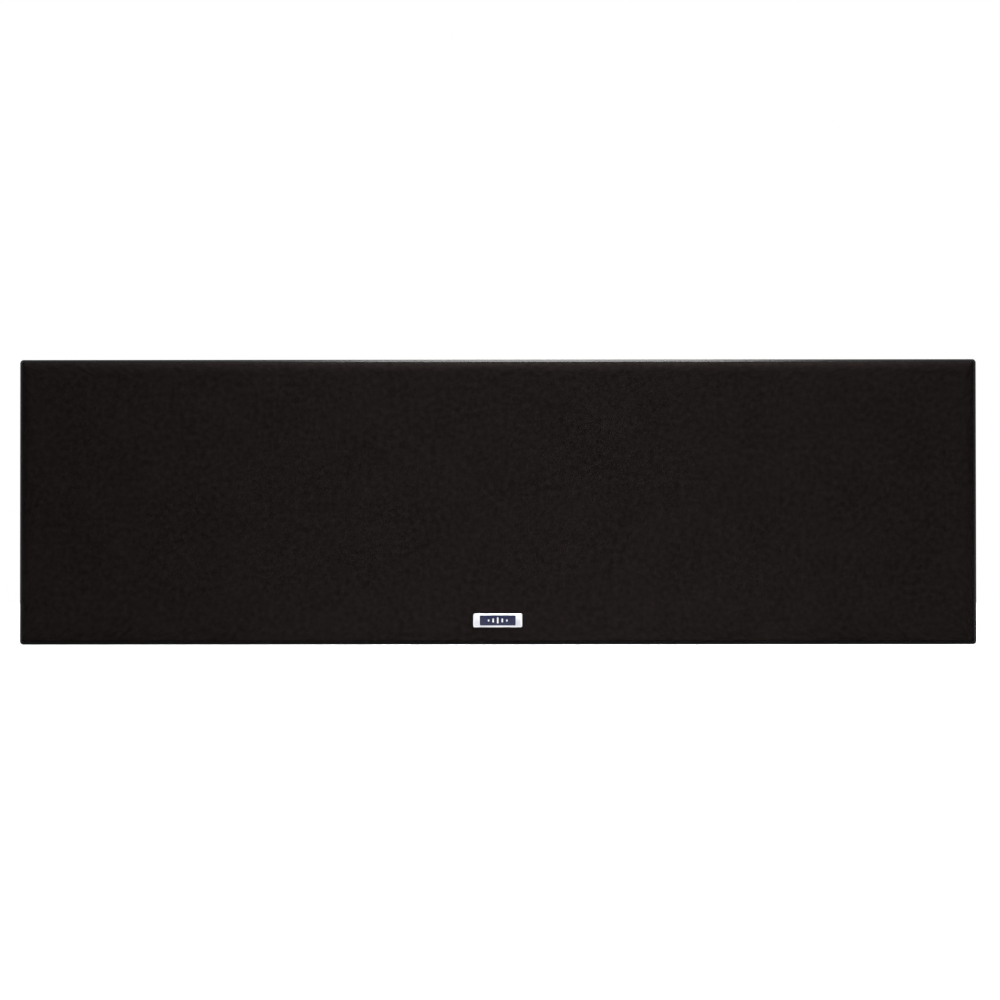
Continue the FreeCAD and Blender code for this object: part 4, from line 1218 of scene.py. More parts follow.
        return GroupMaker("wound_coil", "GeometryNodeTree").build(
            [("Geometry", GEOMETRY, None), ("Axis", VECTOR, (0.0, 1.0, 0.0)),
             ("Inner Radius", FLOAT, 5.0 * MM), ("Outer Radius", FLOAT, 12.0 * MM),
             ("Depth", FLOAT, 12.0 * MM), ("Wire Radius", FLOAT, 0.5 * MM), ("Material", MATERIAL, None)],
            [("Geometry", GEOMETRY)], fill)

    @staticmethod
    def solder() -> Tree:
        """A pad with a solder fillet on each point, rising along an axis.

        Returns:
            The tree, made at the first call.
        """

        def fill(w: Wiring, start: Node, end: Node) -> None:
            """Add the fillet and its copies.

            Args:
                w: the group's wiring.
                start: the group's input node.
                end: the group's output node.
            """
            size = start.outputs
            top = w.node("ShaderNodeCombineXYZ", {2: size["Height"]}).outputs[0]
            line = w.node("GeometryNodeCurvePrimitiveLine", {"Start": (0.0, 0.0, 0.0), "End": top})
            fine = w.node("GeometryNodeResampleCurve", {"Curve": line.outputs[0], "Count": 8})
            rise = w.node("GeometryNodeSplineParameter").outputs["Factor"]
            left = w.math("POWER", w.math("SUBTRACT", 1.0, rise), 2.0)
            swell = w.math("MULTIPLY", size["Radius"], w.math("MULTIPLY_ADD", left, 0.65, 0.35))
            rim = w.node("GeometryNodeCurvePrimitiveCircle", {"Resolution": 20, "Radius": 1.0})
            dome = w.node("GeometryNodeCurveToMesh", {
                "Curve": fine.outputs[0], "Profile Curve": rim.outputs[0], "Scale": swell, "Fill Caps": True})
            RepeatTrees.stand(w, start, dome.outputs[0], end)

        return GroupMaker("solder_fillets", "GeometryNodeTree").build(
            [("Geometry", GEOMETRY, None), ("Axis", VECTOR, (0.0, 1.0, 0.0)), ("Radius", FLOAT, 1.6 * MM),
             ("Height", FLOAT, 1.0 * MM), ("Material", MATERIAL, None)],
            [("Geometry", GEOMETRY)], fill)

    @staticmethod
    def tracks() -> Tree:
        """Flat strips with round corners along the edges of a drawing in X and Y, stood up to face Y.

        Returns:
            The tree, made at the first call.
        """

        def fill(w: Wiring, start: Node, end: Node) -> None:
            """Add the lines, their round corners and the strip's section.

            Args:
                w: the group's wiring.
                start: the group's input node.
                end: the group's output node.
            """
            size = start.outputs
            lines = w.node("GeometryNodeMeshToCurve", {"Mesh": size["Geometry"]})
            bends = w.node(
                "GeometryNodeFilletCurve",
                {"Curve": lines.outputs[0], "Count": 5, "Radius": size["Bend"], "Limit Radius": True},
                mode="POLY")
            section = w.node("GeometryNodeCurvePrimitiveQuadrilateral", {
                "Width": size["Width"], "Height": size["Thickness"]})
            strips = w.node("GeometryNodeCurveToMesh", {
                "Curve": bends.outputs[0], "Profile Curve": section.outputs[0], "Fill Caps": True})
            level = w.node("ShaderNodeCombineXYZ", {1: size["Level"]})
            stood = w.node("GeometryNodeTransform", {
                "Geometry": strips.outputs[0], "Translation": level.outputs[0],
                "Rotation": (0.5 * math.pi, 0.0, 0.0)})
            RepeatTrees.close(w, stood.outputs[0], size["Material"], end)

        return GroupMaker("board_tracks", "GeometryNodeTree").build(
            [("Geometry", GEOMETRY, None), ("Width", FLOAT, 4.0 * MM), ("Thickness", FLOAT, 0.1 * MM),
             ("Bend", FLOAT, 3.0 * MM), ("Level", FLOAT, 0.0), ("Material", MATERIAL, None)],
            [("Geometry", GEOMETRY)], fill)

    @staticmethod
    def stand(
        w: Wiring, start: Node, shape: Socket, end: Node,
        spin: Socket | None = None,
    ) -> None:
        """Stand a shape on each of a tree's points, with its Z along the tree's axis.

        Args:
            w: the tree's wiring.
            start: the tree's input node.
            shape: the shape to copy.
            end: the tree's output node.
            spin: a turn of each copy about its own axis, if there is one.
        """
        size = start.outputs
        aligned = w.node("FunctionNodeAlignRotationToVector", {"Vector": size["Axis"]}, axis="Z")
        if spin is not None:
            aligned = w.node("FunctionNodeRotateRotation", {
                "Rotation": aligned.outputs[0], "Rotate By": spin}, rotation_space="LOCAL")
        copies = w.node("GeometryNodeInstanceOnPoints", {
            "Points": size["Geometry"], "Instance": shape, "Rotation": aligned.outputs[0]})
        RepeatTrees.close(w, copies.outputs[0], size["Material"], end)

    @staticmethod
    def close(
        w: Wiring, copies: Socket, material: Socket, end: Node
    ) -> None:
        """End a tree in Realize Instances and Set Material.

        Args:
            w: the tree's wiring.
            copies: the instances.
            material: the tree's material input.
            end: the tree's output node.
        """
        real = w.node("GeometryNodeRealizeInstances", {0: copies})
        coated = w.node("GeometryNodeSetMaterial", {"Geometry": real.outputs[0], "Material": material})
        w.feed(end.inputs["Geometry"], coated.outputs[0])

    @staticmethod
    def run(
        name: str, tree: Tree, places: Sequence[Point3], material: Material,
        values: dict[str, object], edges: Sequence[tuple[int, int]] = (),
    ) -> Piece:
        """Run a tree on points and keep its result as a plain mesh.

        Args:
            name: the piece's name.
            tree: the tree to run.
            places: the points that its copies stand on.
            material: what the copies are made of.
            values: the tree's other inputs by name.
            edges: pairs of points that a line joins, for a tree that follows lines.

        Returns:
            The linked piece, with no modifier left.
        """
        drawing = bpy.data.meshes.new(name + "_places")
        drawing.from_pydata(places, edges, [])
        rough = bpy.data.objects.new(name + "_places", drawing)
        bpy.context.scene.collection.objects.link(rough)
        modifier = rough.modifiers.new("repeat", "NODES")
        modifier.node_group = tree
        for item in tree.interface.items_tree:
            if item.in_out == "INPUT" and item.name in values:
                modifier[item.identifier] = values[item.name]
            if item.in_out == "INPUT" and item.name == "Material":
                modifier[item.identifier] = material
        bpy.context.view_layer.update()
        graph = bpy.context.evaluated_depsgraph_get()
        mesh = bpy.data.meshes.new_from_object(rough.evaluated_get(graph))
        rough.modifiers.remove(modifier)
        bpy.data.objects.remove(rough)
        return MeshShop.link(name, mesh, material, 35.0)


@dataclass
class Rectangle:
    """Stations round a rectangle with round corners, ready for any half size and corner radius.

    A station is (across, up, out_x, out_z): its place is across and up times the half size less
    the corner radius, plus out times the radius.
    """

    straight_x: Sequence[float] = ()
    straight_z: Sequence[float] = ()
    corner_steps: int = 8
    stations: list[tuple[float, float, float, float]] = field(init=False)

    def __post_init__(self) -> None:
        """Work out the stations, from the middle of the lower left corner and anticlockwise."""
        half = self.corner_steps // 2
        sides = [(-1, -1, 225.0, self.straight_x, 0), (1, -1, 315.0, self.straight_z, 1),
                 (1, 1, 45.0, self.straight_x, 0), (-1, 1, 135.0, self.straight_z, 1)]
        self.stations = []
        for number, (sx, sz, middle, runs, axis) in enumerate(sides):
            for step in range(half + 1):
                self.stations.append(self.corner(sx, sz, middle + 45.0 * step / half))
            forward = 1 if number in (0, 1) else -1
            for share in runs:
                along = forward * share
                self.stations.append((along, sz, 0.0, sz) if axis == 0 else (sx, along, sx, 0.0))
            nx, nz, following = sides[(number + 1) % 4][:3]
            for step in range(half):
                self.stations.append(self.corner(nx, nz, following - 45.0 + 45.0 * step / half))

    @staticmethod
    def corner(sx: int, sz: int, degrees: float) -> tuple[float, float, float, float]:
        """One station on a corner's arc."""
        angle = math.radians(degrees)
        return sx, sz, math.cos(angle), math.sin(angle)

    def ring(self, half_x: float, half_z: float, radius: float, depth: float) -> list[Point3]:
        """The stations' places at one depth.

        Args:
            half_x: half the width.
            half_z: half the height.
            radius: the corner radius.
            depth: y of the ring.

        Returns:
            One point for each station.
        """
        points = []
        for across, up, out_x, out_z in self.stations:
            points.append((across * (half_x - radius) + out_x * radius, depth,
                           up * (half_z - radius) + out_z * radius))
        return points


@dataclass
class GrilleCloth:
    """The stretched cloth: a face that rolls over the frame's edge to a hem behind it."""

    shoulder: float = 4.0 * MM
    roll: float = 6.6 * MM
    corner: float = 2.2 * MM
    least_corner: float = 0.4 * MM
    hem: float = 12.0 * MM
    hem_turn: float = 0.6 * MM
    inset: float = 8.0 * MM
    cell: float = 5.0 * MM
    thickness: float = 0.7 * MM
    slack: float = 0.3 * MM
    proud: float = 0.45 * MM
    corner_cells: int = 4
    corner_cell: float = 0.8 * MM
    windows: tuple[tuple[float, float], ...] = (
        (-321.8 * MM, -268.0 * MM), (-256.0 * MM, -72.5 * MM), (-60.5 * MM, 60.5 * MM),
        (72.5 * MM, 256.0 * MM), (268.0 * MM, 321.8 * MM))
    window_top: float = 85.2 * MM

    def grid_lines(self, half: float) -> list[float]:
        """Grid lines across the face: close together at both ends, even between.

        Args:
            half: half the length that they cross.

        Returns:
            The lines' places, from low to high.
        """
        ends = [k * self.corner_cell for k in range(self.corner_cells)]
        reach = half - self.corner_cells * self.corner_cell
        count = max(2, round(2.0 * reach / self.cell))
        middle = [-reach + 2.0 * reach * k / count for k in range(count + 1)]
        return [-half + e for e in ends] + middle + [half - e for e in reversed(ends)]

    def sag(self, x: float, z: float) -> float:
        """How far the cloth gives inwards between the frame's bars.

        Args:
            x: the place along the face.
            z: the place up the face.

        Returns:
            The depth in metres, 0 over a bar.
        """
        for left, right in self.windows:
            if left < x < right and abs(z) < self.window_top:
                across = math.sin(math.pi * (x - left) / (right - left))
                up = math.cos(0.5 * math.pi * z / self.window_top)
                return self.slack * across * up
        return 0.0

    def profile(self, front: float, rear: float) -> list[Point2]:
        """The cloth's path from the face over the edge to the end of the hem.

        Args:
            front: y of the face.
            rear: y of the hem.

        Returns:
            (inset from the edge, y) along the path.
        """
        path = [(self.roll, front)]
        shoulder = arc((self.shoulder, front + self.shoulder), self.shoulder, 270.0, 180.0, 8)
        for inset, depth in shoulder[1:]:
            path.append((inset * self.roll / self.shoulder, depth))
        turn = self.hem_turn
        path += [(0.0, rear - turn), (0.3 * turn, rear - 0.3 * turn), (turn, rear)]
        for share in (0.35, 0.7, 1.0):
            path.append((turn + (self.hem - turn) * share, rear))
        return path

    def face(
        self, xs: Sequence[float], zs: Sequence[float], front: float
    ) -> tuple[list[Point3], list[Point2], list[tuple[int, ...]], list[int]]:
        """The face as a grid.

        Args:
            xs: the grid lines across.
            zs: the grid lines up.
            front: y of the face.

        Returns:
            Its points, their places on the flat cut, its faces, and the points round its edge.
        """
        points, flat, faces = [], [], []
        wide, tall = len(xs), len(zs)
        for z in zs:
            for x in xs:
                points.append((x, front + self.sag(x, z), z))
                flat.append((x, z))
        for j in range(tall - 1):
            for i in range(wide - 1):
                corner = j * wide + i
                faces.append((corner, corner + 1, corner + wide + 1, corner + wide))
        edge = (list(range(wide)) + [j * wide + wide - 1 for j in range(1, tall)]
                + [(tall - 1) * wide + i for i in range(wide - 2, -1, -1)]
                + [j * wide for j in range(tall - 2, 0, -1)])
        return points, flat, faces, edge

    def build(self, wardrobe: Wardrobe) -> Piece:
        """Make the cloth with its UV map in metres.

        Args:
            wardrobe: where the cloth's material comes from.

        Returns:
            The cloth, riding on the grille.
        """
        low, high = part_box("grille_cloth")
        half_x, half_z = high[0] + self.proud, high[2] + self.proud
        front, rear = low[1], high[1]
        xs, zs = self.grid_lines(half_x - self.inset), self.grid_lines(half_z - self.inset)
        points, flat, faces, edge = self.face(xs, zs, front)
        k = self.corner_cells
        share_x = [x / xs[-k - 1] for x in xs[k + 1:-k - 1]]
        share_z = [z / zs[-k - 1] for z in zs[k + 1:-k - 1]]
        shape = Rectangle(share_x, share_z, 2 * k)
        before, length, last = edge, 0.0, (self.inset, front)
        for inset, depth in self.profile(front, rear):
            length += math.dist(last, (inset, depth))
            last = (inset, depth)
            radius = max(self.corner - inset, self.least_corner)
            ring = shape.ring(half_x - inset, half_z - inset, radius, depth)
            here = list(range(len(points), len(points) + len(ring)))
            points += ring
            for number, station in zip(edge, shape.stations):
                out = Vector((station[2], station[3])).normalized()
                flat.append((flat[number][0] + out.x * length, flat[number][1] + out.y * length))
            for a in range(len(edge)):
                b = (a + 1) % len(edge)
                faces.append((before[a], here[a], here[b], before[b]))
            before = here
        mesh = bpy.data.meshes.new("grille_cloth_skin")
        mesh.from_pydata(points, [], faces)
        layer = mesh.uv_layers.new(name="flat_cut")
        for loop in mesh.loops:
            layer.data[loop.index].uv = flat[loop.vertex_index]
        if mesh.polygons[0].normal.y > 0.0:
            mesh.flip_normals()
        piece = MeshShop.link("grille_cloth_skin", mesh, wardrobe.slot("cloth"), 75.0)
        wall = piece.modifiers.new("thickness", "SOLIDIFY")
        wall.thickness = self.thickness
        wall.offset = -1.0
        settle(piece, "grille", ["grille_cloth"])
        return piece


@dataclass
class Badge:
    """A small plate on the cloth: satin metal with an enamel field and five level bars."""

    corner: float = 1.2 * MM
    border: float = 1.0 * MM
    step: float = 0.15 * MM
    edge: float = 0.35 * MM
    edge_middle: float = 0.12 * MM
    field_half: Point2 = (12.6 * MM, 3.5 * MM)
    field_corner: float = 0.8 * MM
    field_levels: Point3 = (0.05 * MM, -0.03 * MM, -0.06 * MM)
    bars: tuple[float, ...] = (0.35, 0.65, 1.0, 0.65, 0.35)
    bar_pitch: float = 3.2 * MM
    bar_half: float = 0.55 * MM
    bar_reach: float = 2.1 * MM
    bar_corner: float = 0.45 * MM
    bar_edge: float = 0.1 * MM
    bar_levels: Point2 = (-0.09 * MM, -0.12 * MM)

    def plate(
        self, name: str, half: Point2, centre: Point2, rings: Sequence[tuple[float, float]],
        corner: float, material: Material,
    ) -> Piece:
        """Make a plate with round corners from a stack of rings.

        Args:
            name: the object's name.
            half: half its width and height.
            centre: x and z of its middle.
            rings: (inset, y) from the rear edge to the front face.
            corner: the corner radius of the first ring.
            material: what it is made of.

        Returns:
            The linked plate.
        """
        shape = Rectangle()
        count = len(shape.stations)
        points, faces = [], []
        for inset, depth in rings:
            radius = max(corner - inset, 0.1 * MM)
            for x, y, z in shape.ring(half[0] - inset, half[1] - inset, radius, depth):
                points.append((x + centre[0], y, z + centre[1]))
        for level in range(len(rings) - 1):
            for a in range(count):
                b = (a + 1) % count
                low = level * count
                faces.append((low + a, low + b, low + count + b, low + count + a))
        faces.append(list(range(count))[::-1])
        faces.append(list(range((len(rings) - 1) * count, len(rings) * count)))
        return MeshShop.from_faces(name, points, faces, material, 50.0)

    def build(self, wardrobe: Wardrobe) -> None:
        """Make the plate, its field and its bars.

        Args:
            wardrobe: where the materials come from.
        """
        low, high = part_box("badge_plate")
        front, rear = low[1], high[1]
        half = (0.5 * (high[0] - low[0]), 0.5 * (high[2] - low[2]))
        centre = (0.5 * (high[0] + low[0]), 0.5 * (high[2] + low[2]))
        floor = front + self.step
        rings = [(0.0, rear), (0.0, front + self.edge), (self.edge_middle, front + self.edge_middle),
                 (self.edge, front), (self.border, front), (self.border + self.step, floor)]
        metal = wardrobe.slot("badge")
        plate = self.plate("badge_metal", half, centre, rings, self.corner, metal)
        settle(plate, "grille", ["badge_plate"])
        root, shoulder, top = self.field_levels
        rings = [(0.0, floor + root), (0.0, floor + shoulder), (self.edge_middle, floor + top)]
        enamel = self.plate(
            "badge_enamel", self.field_half, centre, rings, self.field_corner, wardrobe.special(ENAMEL))
        settle(enamel, "grille")
        shoulder, top = self.bar_levels
        rings = [(0.0, floor), (0.0, floor + shoulder), (self.bar_edge, floor + top)]
        bars = []
        for number, share in enumerate(self.bars):
            along = (number - 0.5 * (len(self.bars) - 1)) * self.bar_pitch
            bars.append(self.plate("badge_bar", (self.bar_half, self.bar_reach * share),
                                   (centre[0] + along, centre[1]), rings, self.bar_corner, metal))
        settle(MeshShop.join("badge_bars", bars), "grille")


@dataclass
class Woofer:
    """One woofer's suspension, between the basket and the moving cone."""

    side: Side
    spread: float = 165.0 * MM
    lip_edge: float = 76.4 * MM
    lip: tuple[float, float] = (-5.4 * MM, -4.6 * MM)
    lip_step: float = 0.6 * MM
    leg_step: float = 0.5 * MM
    roll_centre: float = 66.0 * MM
    roll_radius: float = 5.0 * MM
    skin: float = 0.8 * MM
    cone_front: float = 1.4 * MM
    cone_mouth: float = 56.0 * MM
    spider_edge: float = 51.0 * MM
    spider_lip: float = 45.0 * MM
    spider_collar: float = 17.1 * MM
    coil_radius: float = 13.1 * MM
    spider_rear: float = 28.0 * MM
    collar_rear: float = 23.0 * MM
    spider_skin: float = 0.6 * MM
    wave: float = 1.4 * MM
    waves: int = 4

    @property
    def centre(self) -> Point3:
        """A point on the woofer's axis."""
        return self.side.value * self.spread, 0.0, 0.0

    @property
    def moving(self) -> str:
        """The body that carries the cone."""
        return self.side.word + "_cone_body"

    def surround_profile(self) -> list[Point2]:
        """The half roll's section, front face first.

        Returns:
            (radius, y) round the section.
        """
        level = 0.5 * (self.lip[0] + self.lip[1])
        outer, inner = self.roll_radius + 0.5 * self.skin, self.roll_radius - 0.5 * self.skin
        lip_front, lip_rear = self.lip
        leg = [level + (self.cone_front - level) * share for share in (0.25, 0.5, 0.7)]
        glued = self.cone_front - self.skin
        outside, inside = self.roll_centre - outer, self.roll_centre - inner
        front = [(self.lip_edge, lip_front), (self.roll_centre + outer + self.lip_step, lip_front)]
        front += arc((self.roll_centre, level), outer, 0.0, -180.0, 20)
        front += [(outside, depth) for depth in leg]
        front += [(outside - self.leg_step, glued), (self.cone_mouth, glued)]
        rear = [(self.cone_mouth, self.cone_front), (inside, self.cone_front)]
        rear += [(inside, depth) for depth in reversed(leg)]
        rear += arc((self.roll_centre, level), inner, -180.0, 0.0, 20)
        rear += [(self.roll_centre + inner, lip_rear), (self.lip_edge, lip_rear)]
        return front + rear

    def spider_profile(self) -> list[Point2]:
        """The spider's corrugated section, rear face first.

        Returns:
            (radius, y) round the section.
        """
        steps = 12 * self.waves
        rear = [(self.spider_edge, self.spider_rear)]
        for step in range(steps + 1):
            share = step / steps
            radius = self.spider_lip + (self.spider_collar - self.spider_lip) * share
            middle = self.spider_rear + (self.collar_rear - self.spider_rear) * share
            rear.append((radius, middle + self.wave * math.sin(2.0 * math.pi * self.waves * share)))
        rear.append((self.coil_radius, self.collar_rear))
        front = [(radius, depth - self.spider_skin) for radius, depth in reversed(rear)]
        return rear + front

    def build(self, wardrobe: Wardrobe) -> None:
        """Make the surround and the spider, each between basket and cone.

        Args:
            wardrobe: where the materials come from.
        """
        name = self.side.word + "_surround"
        roll = MeshShop.lathe(name + "_roll", self.surround_profile(), self.centre,
                              wardrobe.slot("surround_rubber"), steps=120, crease=50.0)
        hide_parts(name)
        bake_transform(roll)
        log.info("%s bends between speaker and %s", roll.name, self.moving)
        name = self.side.word + "_spider"
        web = MeshShop.lathe(name + "_web", self.spider_profile(), self.centre, wardrobe.slot("spider_cloth"),
                             steps=120, crease=50.0)
        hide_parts(name)
        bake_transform(web)
        log.info("%s bends between speaker and %s", web.name, self.moving)


@dataclass(frozen=True)
class ScrewSize:
    """The sizes of one kind of pan-head screw."""

    head_radius: float
    head_height: float
    shank_radius: float
    shank_length: float
    pitch: float

    def set_of(
        self, name: str, places: Sequence[Point3], facing: Facing, seed: int, material: Material
    ) -> Piece:
        """Make screws of this size.

        Args:
            name: the piece's name.
            places: the points under the heads.
            facing: which way the heads look.
            seed: the seed of the heads' turns.
            material: what they are made of.

        Returns:
            The screws as one linked piece.
        """
        return RepeatTrees.run(name, RepeatTrees.screws(), places, material, {
            "Axis": facing.value, "Head Radius": self.head_radius, "Head Height": self.head_height,
            "Shank Radius": self.shank_radius, "Shank Length": self.shank_length, "Pitch": self.pitch,
            "Seed": seed})


@dataclass
class DriverScrews:
    """The sixteen screws that hold the three drivers to the frame."""

    woofer_x: float = 165.0 * MM
    woofer_circle: float = 79.75 * MM
    woofer_seat: float = -6.0 * MM
    tweeter_circle: float = 46.0 * MM
    tweeter_seat: float = -5.6 * MM
    size: ScrewSize = ScrewSize(3.0 * MM, 1.6 * MM, 1.6 * MM, 13.4 * MM, 1.3 * MM)
    seed: int = 5

    def places(self) -> list[Point3]:
        """The points under the heads.

        Returns:
            Six points for each woofer, then four for the tweeter.
        """
        woofer = (self.woofer_circle, self.woofer_seat, 6, 30.0)
        circles = [(side.value * self.woofer_x, *woofer) for side in Side]
        circles.append((0.0, self.tweeter_circle, self.tweeter_seat, 4, 45.0))
        points = []
        for x, radius, seat, count, start in circles:
            for step in range(count):
                angle = math.radians(start + 360.0 * step / count)
                points.append((x + radius * math.cos(angle), seat, radius * math.sin(angle)))
        return points

    def build(self, wardrobe: Wardrobe) -> None:
        """Make the screws as one piece.

        Args:
            wardrobe: where the material comes from.
        """
        piece = self.size.set_of(
            "driver_screw_set", self.places(), Facing.FRONT, self.seed, wardrobe.slot("black_screw"))
        settle(piece, "speaker", ["driver_screws"])


@dataclass
class ClampScrews:
    """The long threaded screws of the six dog-leg clamps, each on its own body."""

    spread: float = 278.0 * MM
    height: float = 78.0 * MM
    seat: float = -2.4 * MM
    size: ScrewSize = ScrewSize(3.8 * MM, 2.4 * MM, 2.0 * MM, 44.4 * MM, 1.5 * MM)

    def build(self, wardrobe: Wardrobe) -> None:
        """Make one screw for each clamp.

        Args:
            wardrobe: where the material comes from.
        """
        zinc = wardrobe.slot("zinc_screw")
        columns = (-self.spread, 0.0, self.spread)
        places = [(x, self.seat, z) for z in (self.height, -self.height) for x in columns]
        for number, place in enumerate(places, 1):
            node = f"clamp_screw_{number}"
            piece = self.size.set_of(node + "_threaded", [place], Facing.FRONT, number, zinc)
            settle(piece, node + "_body", [node])


@dataclass
class Crossover:
    """The board's parts in the right end bay: coils, capacitor, resistor, leads and screws."""

    bay_x: float = 288.0 * MM
    face: float = 15.6 * MM
    big_coil: Point2 = (288.0 * MM, 32.0 * MM)
    big_radii: Point2 = (9.0 * MM, 22.0 * MM)
    big_depth: float = 20.0 * MM
    big_wire: float = 0.5 * MM
    small_coil: Point2 = (279.0 * MM, -42.0 * MM)
    small_radii: Point2 = (5.0 * MM, 12.0 * MM)
    small_depth: float = 12.0 * MM
    small_wire: float = 0.35 * MM
    can: Point3 = (270.0 * MM, 24.6 * MM, -5.0 * MM)
    can_radius: float = 9.0 * MM
    can_length: float = 36.0 * MM
    can_lip: float = 0.7 * MM
    can_sink: float = 1.0 * MM
    trough: Point2 = (1.1 * MM, 0.7 * MM)
    block_edge: float = 0.35 * MM
    lead: float = 0.45 * MM
    lead_root: float = 1.0 * MM
    lead_foot: float = 0.3 * MM
    can_reach: float = 5.0 * MM
    block_reach: float = 3.5 * MM
    tail: tuple[Point2, ...] = (
        (-0.4 * MM, 4.0 * MM), (1.6 * MM, 4.0 * MM), (2.4 * MM, 2.0 * MM), (2.4 * MM, -0.3 * MM))
    pad: Point2 = (1.5 * MM, 0.9 * MM)
    screw: ScrewSize = ScrewSize(2.8 * MM, 2.0 * MM, 1.4 * MM, 12.0 * MM, 1.1 * MM)
    screw_seed: int = 11
    hole: Point2 = (23.0 * MM, 55.0 * MM)
    terminal_hole: float = 26.0 * MM
    terminal_face: float = 13.0 * MM
    track: Point2 = (4.2 * MM, 0.16 * MM)
    track_step: float = 0.012 * MM
    track_bend: float = 3.0 * MM
    routes: tuple[tuple[Point2, ...], ...] = (
        ((310.9, 23.7), (313.6, 18.0), (313.6, 1.0), (310.0, -5.0)),
        ((265.1, 23.7), (262.6, 29.0), (262.6, 46.0)),
        ((265.1, 23.7), (262.6, 15.0), (268.0, 7.2), (303.0, 7.2)),
        ((266.0, -5.0), (262.6, -10.0), (262.6, -21.0), (269.0, -28.5), (274.1, -28.5)),
        ((262.6, -14.0), (268.0, -18.5), (294.0, -18.5), (300.0, -21.5)),
        ((292.5, -37.1), (293.4, -50.0), (287.0, -57.6), (272.0, -57.6)),
        ((300.0, -54.5), (307.0, -48.0), (313.6, -43.0), (313.6, -14.0)))

    def coils(self, wardrobe: Wardrobe) -> None:
        """Wind both coils.

        Args:
            wardrobe: where the material comes from.
        """
        copper = wardrobe.slot("copper_wire")
        coils = (("woofer_coil", self.big_coil, self.big_radii, self.big_depth, self.big_wire),
                 ("tweeter_coil", self.small_coil, self.small_radii, self.small_depth, self.small_wire))
        for node, (x, z), (inner, outer), depth, wire in coils:
            sizes = {"Axis": Facing.REAR.value, "Inner Radius": inner, "Outer Radius": outer, "Depth": depth,
                     "Wire Radius": wire}
            place = (x, self.face, z)
            piece = RepeatTrees.run(node + "_winding", RepeatTrees.winding(), [place], copper, sizes)
            settle(piece, "speaker", [node])

    def capacitor(self, wardrobe: Wardrobe) -> None:
        """Make the wrapped can with its potted ends.

        Args:
            wardrobe: where the materials come from.
        """
        r, end = self.can_radius, self.can_length
        lip, sink = self.can_lip, self.can_sink
        wall = [(r - lip, 0.0), (r - 0.15 * MM, 0.15 * MM), (r, 1.2 * MM), (r - 0.12 * MM, 0.5 * end),
                (r, end - 1.2 * MM), (r - 0.15 * MM, end - 0.15 * MM), (r - lip, end),
                (r - lip, end - 2.0 * sink), (r - lip, 2.0 * sink)]
        along = (1.0, 0.0, 0.0)
        can = MeshShop.lathe("capacitor_wrap", wall, self.can, wardrobe.slot("capacitor_film"), along, 64)
        settle(can, "speaker", ["film_capacitor"])
        fills = []
        for start, out in ((sink, -1.0), (end - sink, 1.0)):
            dome = [(0.0, start + out * 0.5 * MM), (0.45 * r, start + out * 0.3 * MM), (r - lip, start),
                    (r - lip, start - out * 0.8 * MM), (0.0, start - out * 0.8 * MM)]
            fills.append(MeshShop.lathe("capacitor_end", dome, self.can, wardrobe.special(EPOXY), along, 48))
        settle(MeshShop.join("capacitor_ends", fills), "speaker")

    def resistor(self, wardrobe: Wardrobe) -> None:
        """Make the ceramic block with round edges and its potted trough.

        Args:
            wardrobe: where the materials come from.
        """
        low, high = (Vector(corner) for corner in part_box("cement_resistor"))
        middle = 0.5 * (low + high)
        shape = bmesh.new()
        bmesh.ops.create_cube(shape, size=1.0)
        bmesh.ops.scale(shape, vec=high - low, verts=shape.verts)
        top = [f for f in shape.faces if f.normal.y > 0.9]
        wall, depth = self.trough
        bmesh.ops.inset_region(shape, faces=top, thickness=wall, depth=0.0)
        bmesh.ops.translate(shape, vec=(0.0, -depth, 0.0), verts=list({v for f in top for v in f.verts}))
        bmesh.ops.bevel(shape, geom=list(shape.edges), offset=self.block_edge, segments=2, affect="EDGES")
        bmesh.ops.translate(shape, vec=middle, verts=shape.verts)
        mesh = bpy.data.meshes.new("resistor_block")
        shape.to_mesh(mesh)
        shape.free()
        block = MeshShop.link("resistor_block", mesh, wardrobe.slot("cement"), 50.0)
        settle(block, "speaker", ["cement_resistor"])

    def leads(self, wardrobe: Wardrobe) -> list[Point3]:
        """Bend the parts' leads down to the board.

        Args:
            wardrobe: where the material comes from.

        Returns:
            Where the leads meet the board.
        """
        x, y, z = self.can
        low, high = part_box("cement_resistor")
        rx, ry = 0.5 * (low[0] + high[0]), 0.5 * (low[1] + high[1])
        root, foot = self.lead_root, self.face - self.lead_foot
        bends = []
        for start, out in ((x + root, -1.0), (x + self.can_length - root, 1.0)):
            far, bend = start + out * self.can_reach, 1.5 * MM
            bends.append([(start, y, z), (far - out * bend, y, z), (far, y, z), (far, y - bend, z),
                          (far, foot, z)])
        for start, out in ((low[2] + root, -1.0), (high[2] - root, 1.0)):
            far, bend = start + out * self.block_reach, 1.0 * MM
            bends.append([(rx, ry, start), (rx, ry, far - out * bend), (rx, ry, far), (rx, ry - bend, far),
                          (rx, foot, far)])
        wires = [MeshShop.wire("lead", bend, self.lead, wardrobe.special(TINNED)) for bend in bends]
        settle(MeshShop.join("component_leads", wires), "speaker")
        tails = []
        ends = ((self.big_coil, self.big_radii, 200.0), (self.big_coil, self.big_radii, 340.0),
                (self.small_coil, self.small_radii, 110.0), (self.small_coil, self.small_radii, 20.0))
        for (cx, cz), (_, edge), degrees in ends:
            angle = math.radians(degrees)
            out, at = Vector((math.cos(angle), 0.0, math.sin(angle))), Vector((cx, self.face, cz))
            tails.append([tuple(at + out * (edge + past) + Vector((0.0, rise, 0.0)))
                          for past, rise in self.tail])
        wires = [MeshShop.wire("tail", tail, self.lead, wardrobe.slot("copper_wire")) for tail in tails]
        settle(MeshShop.join("coil_tails", wires), "speaker")
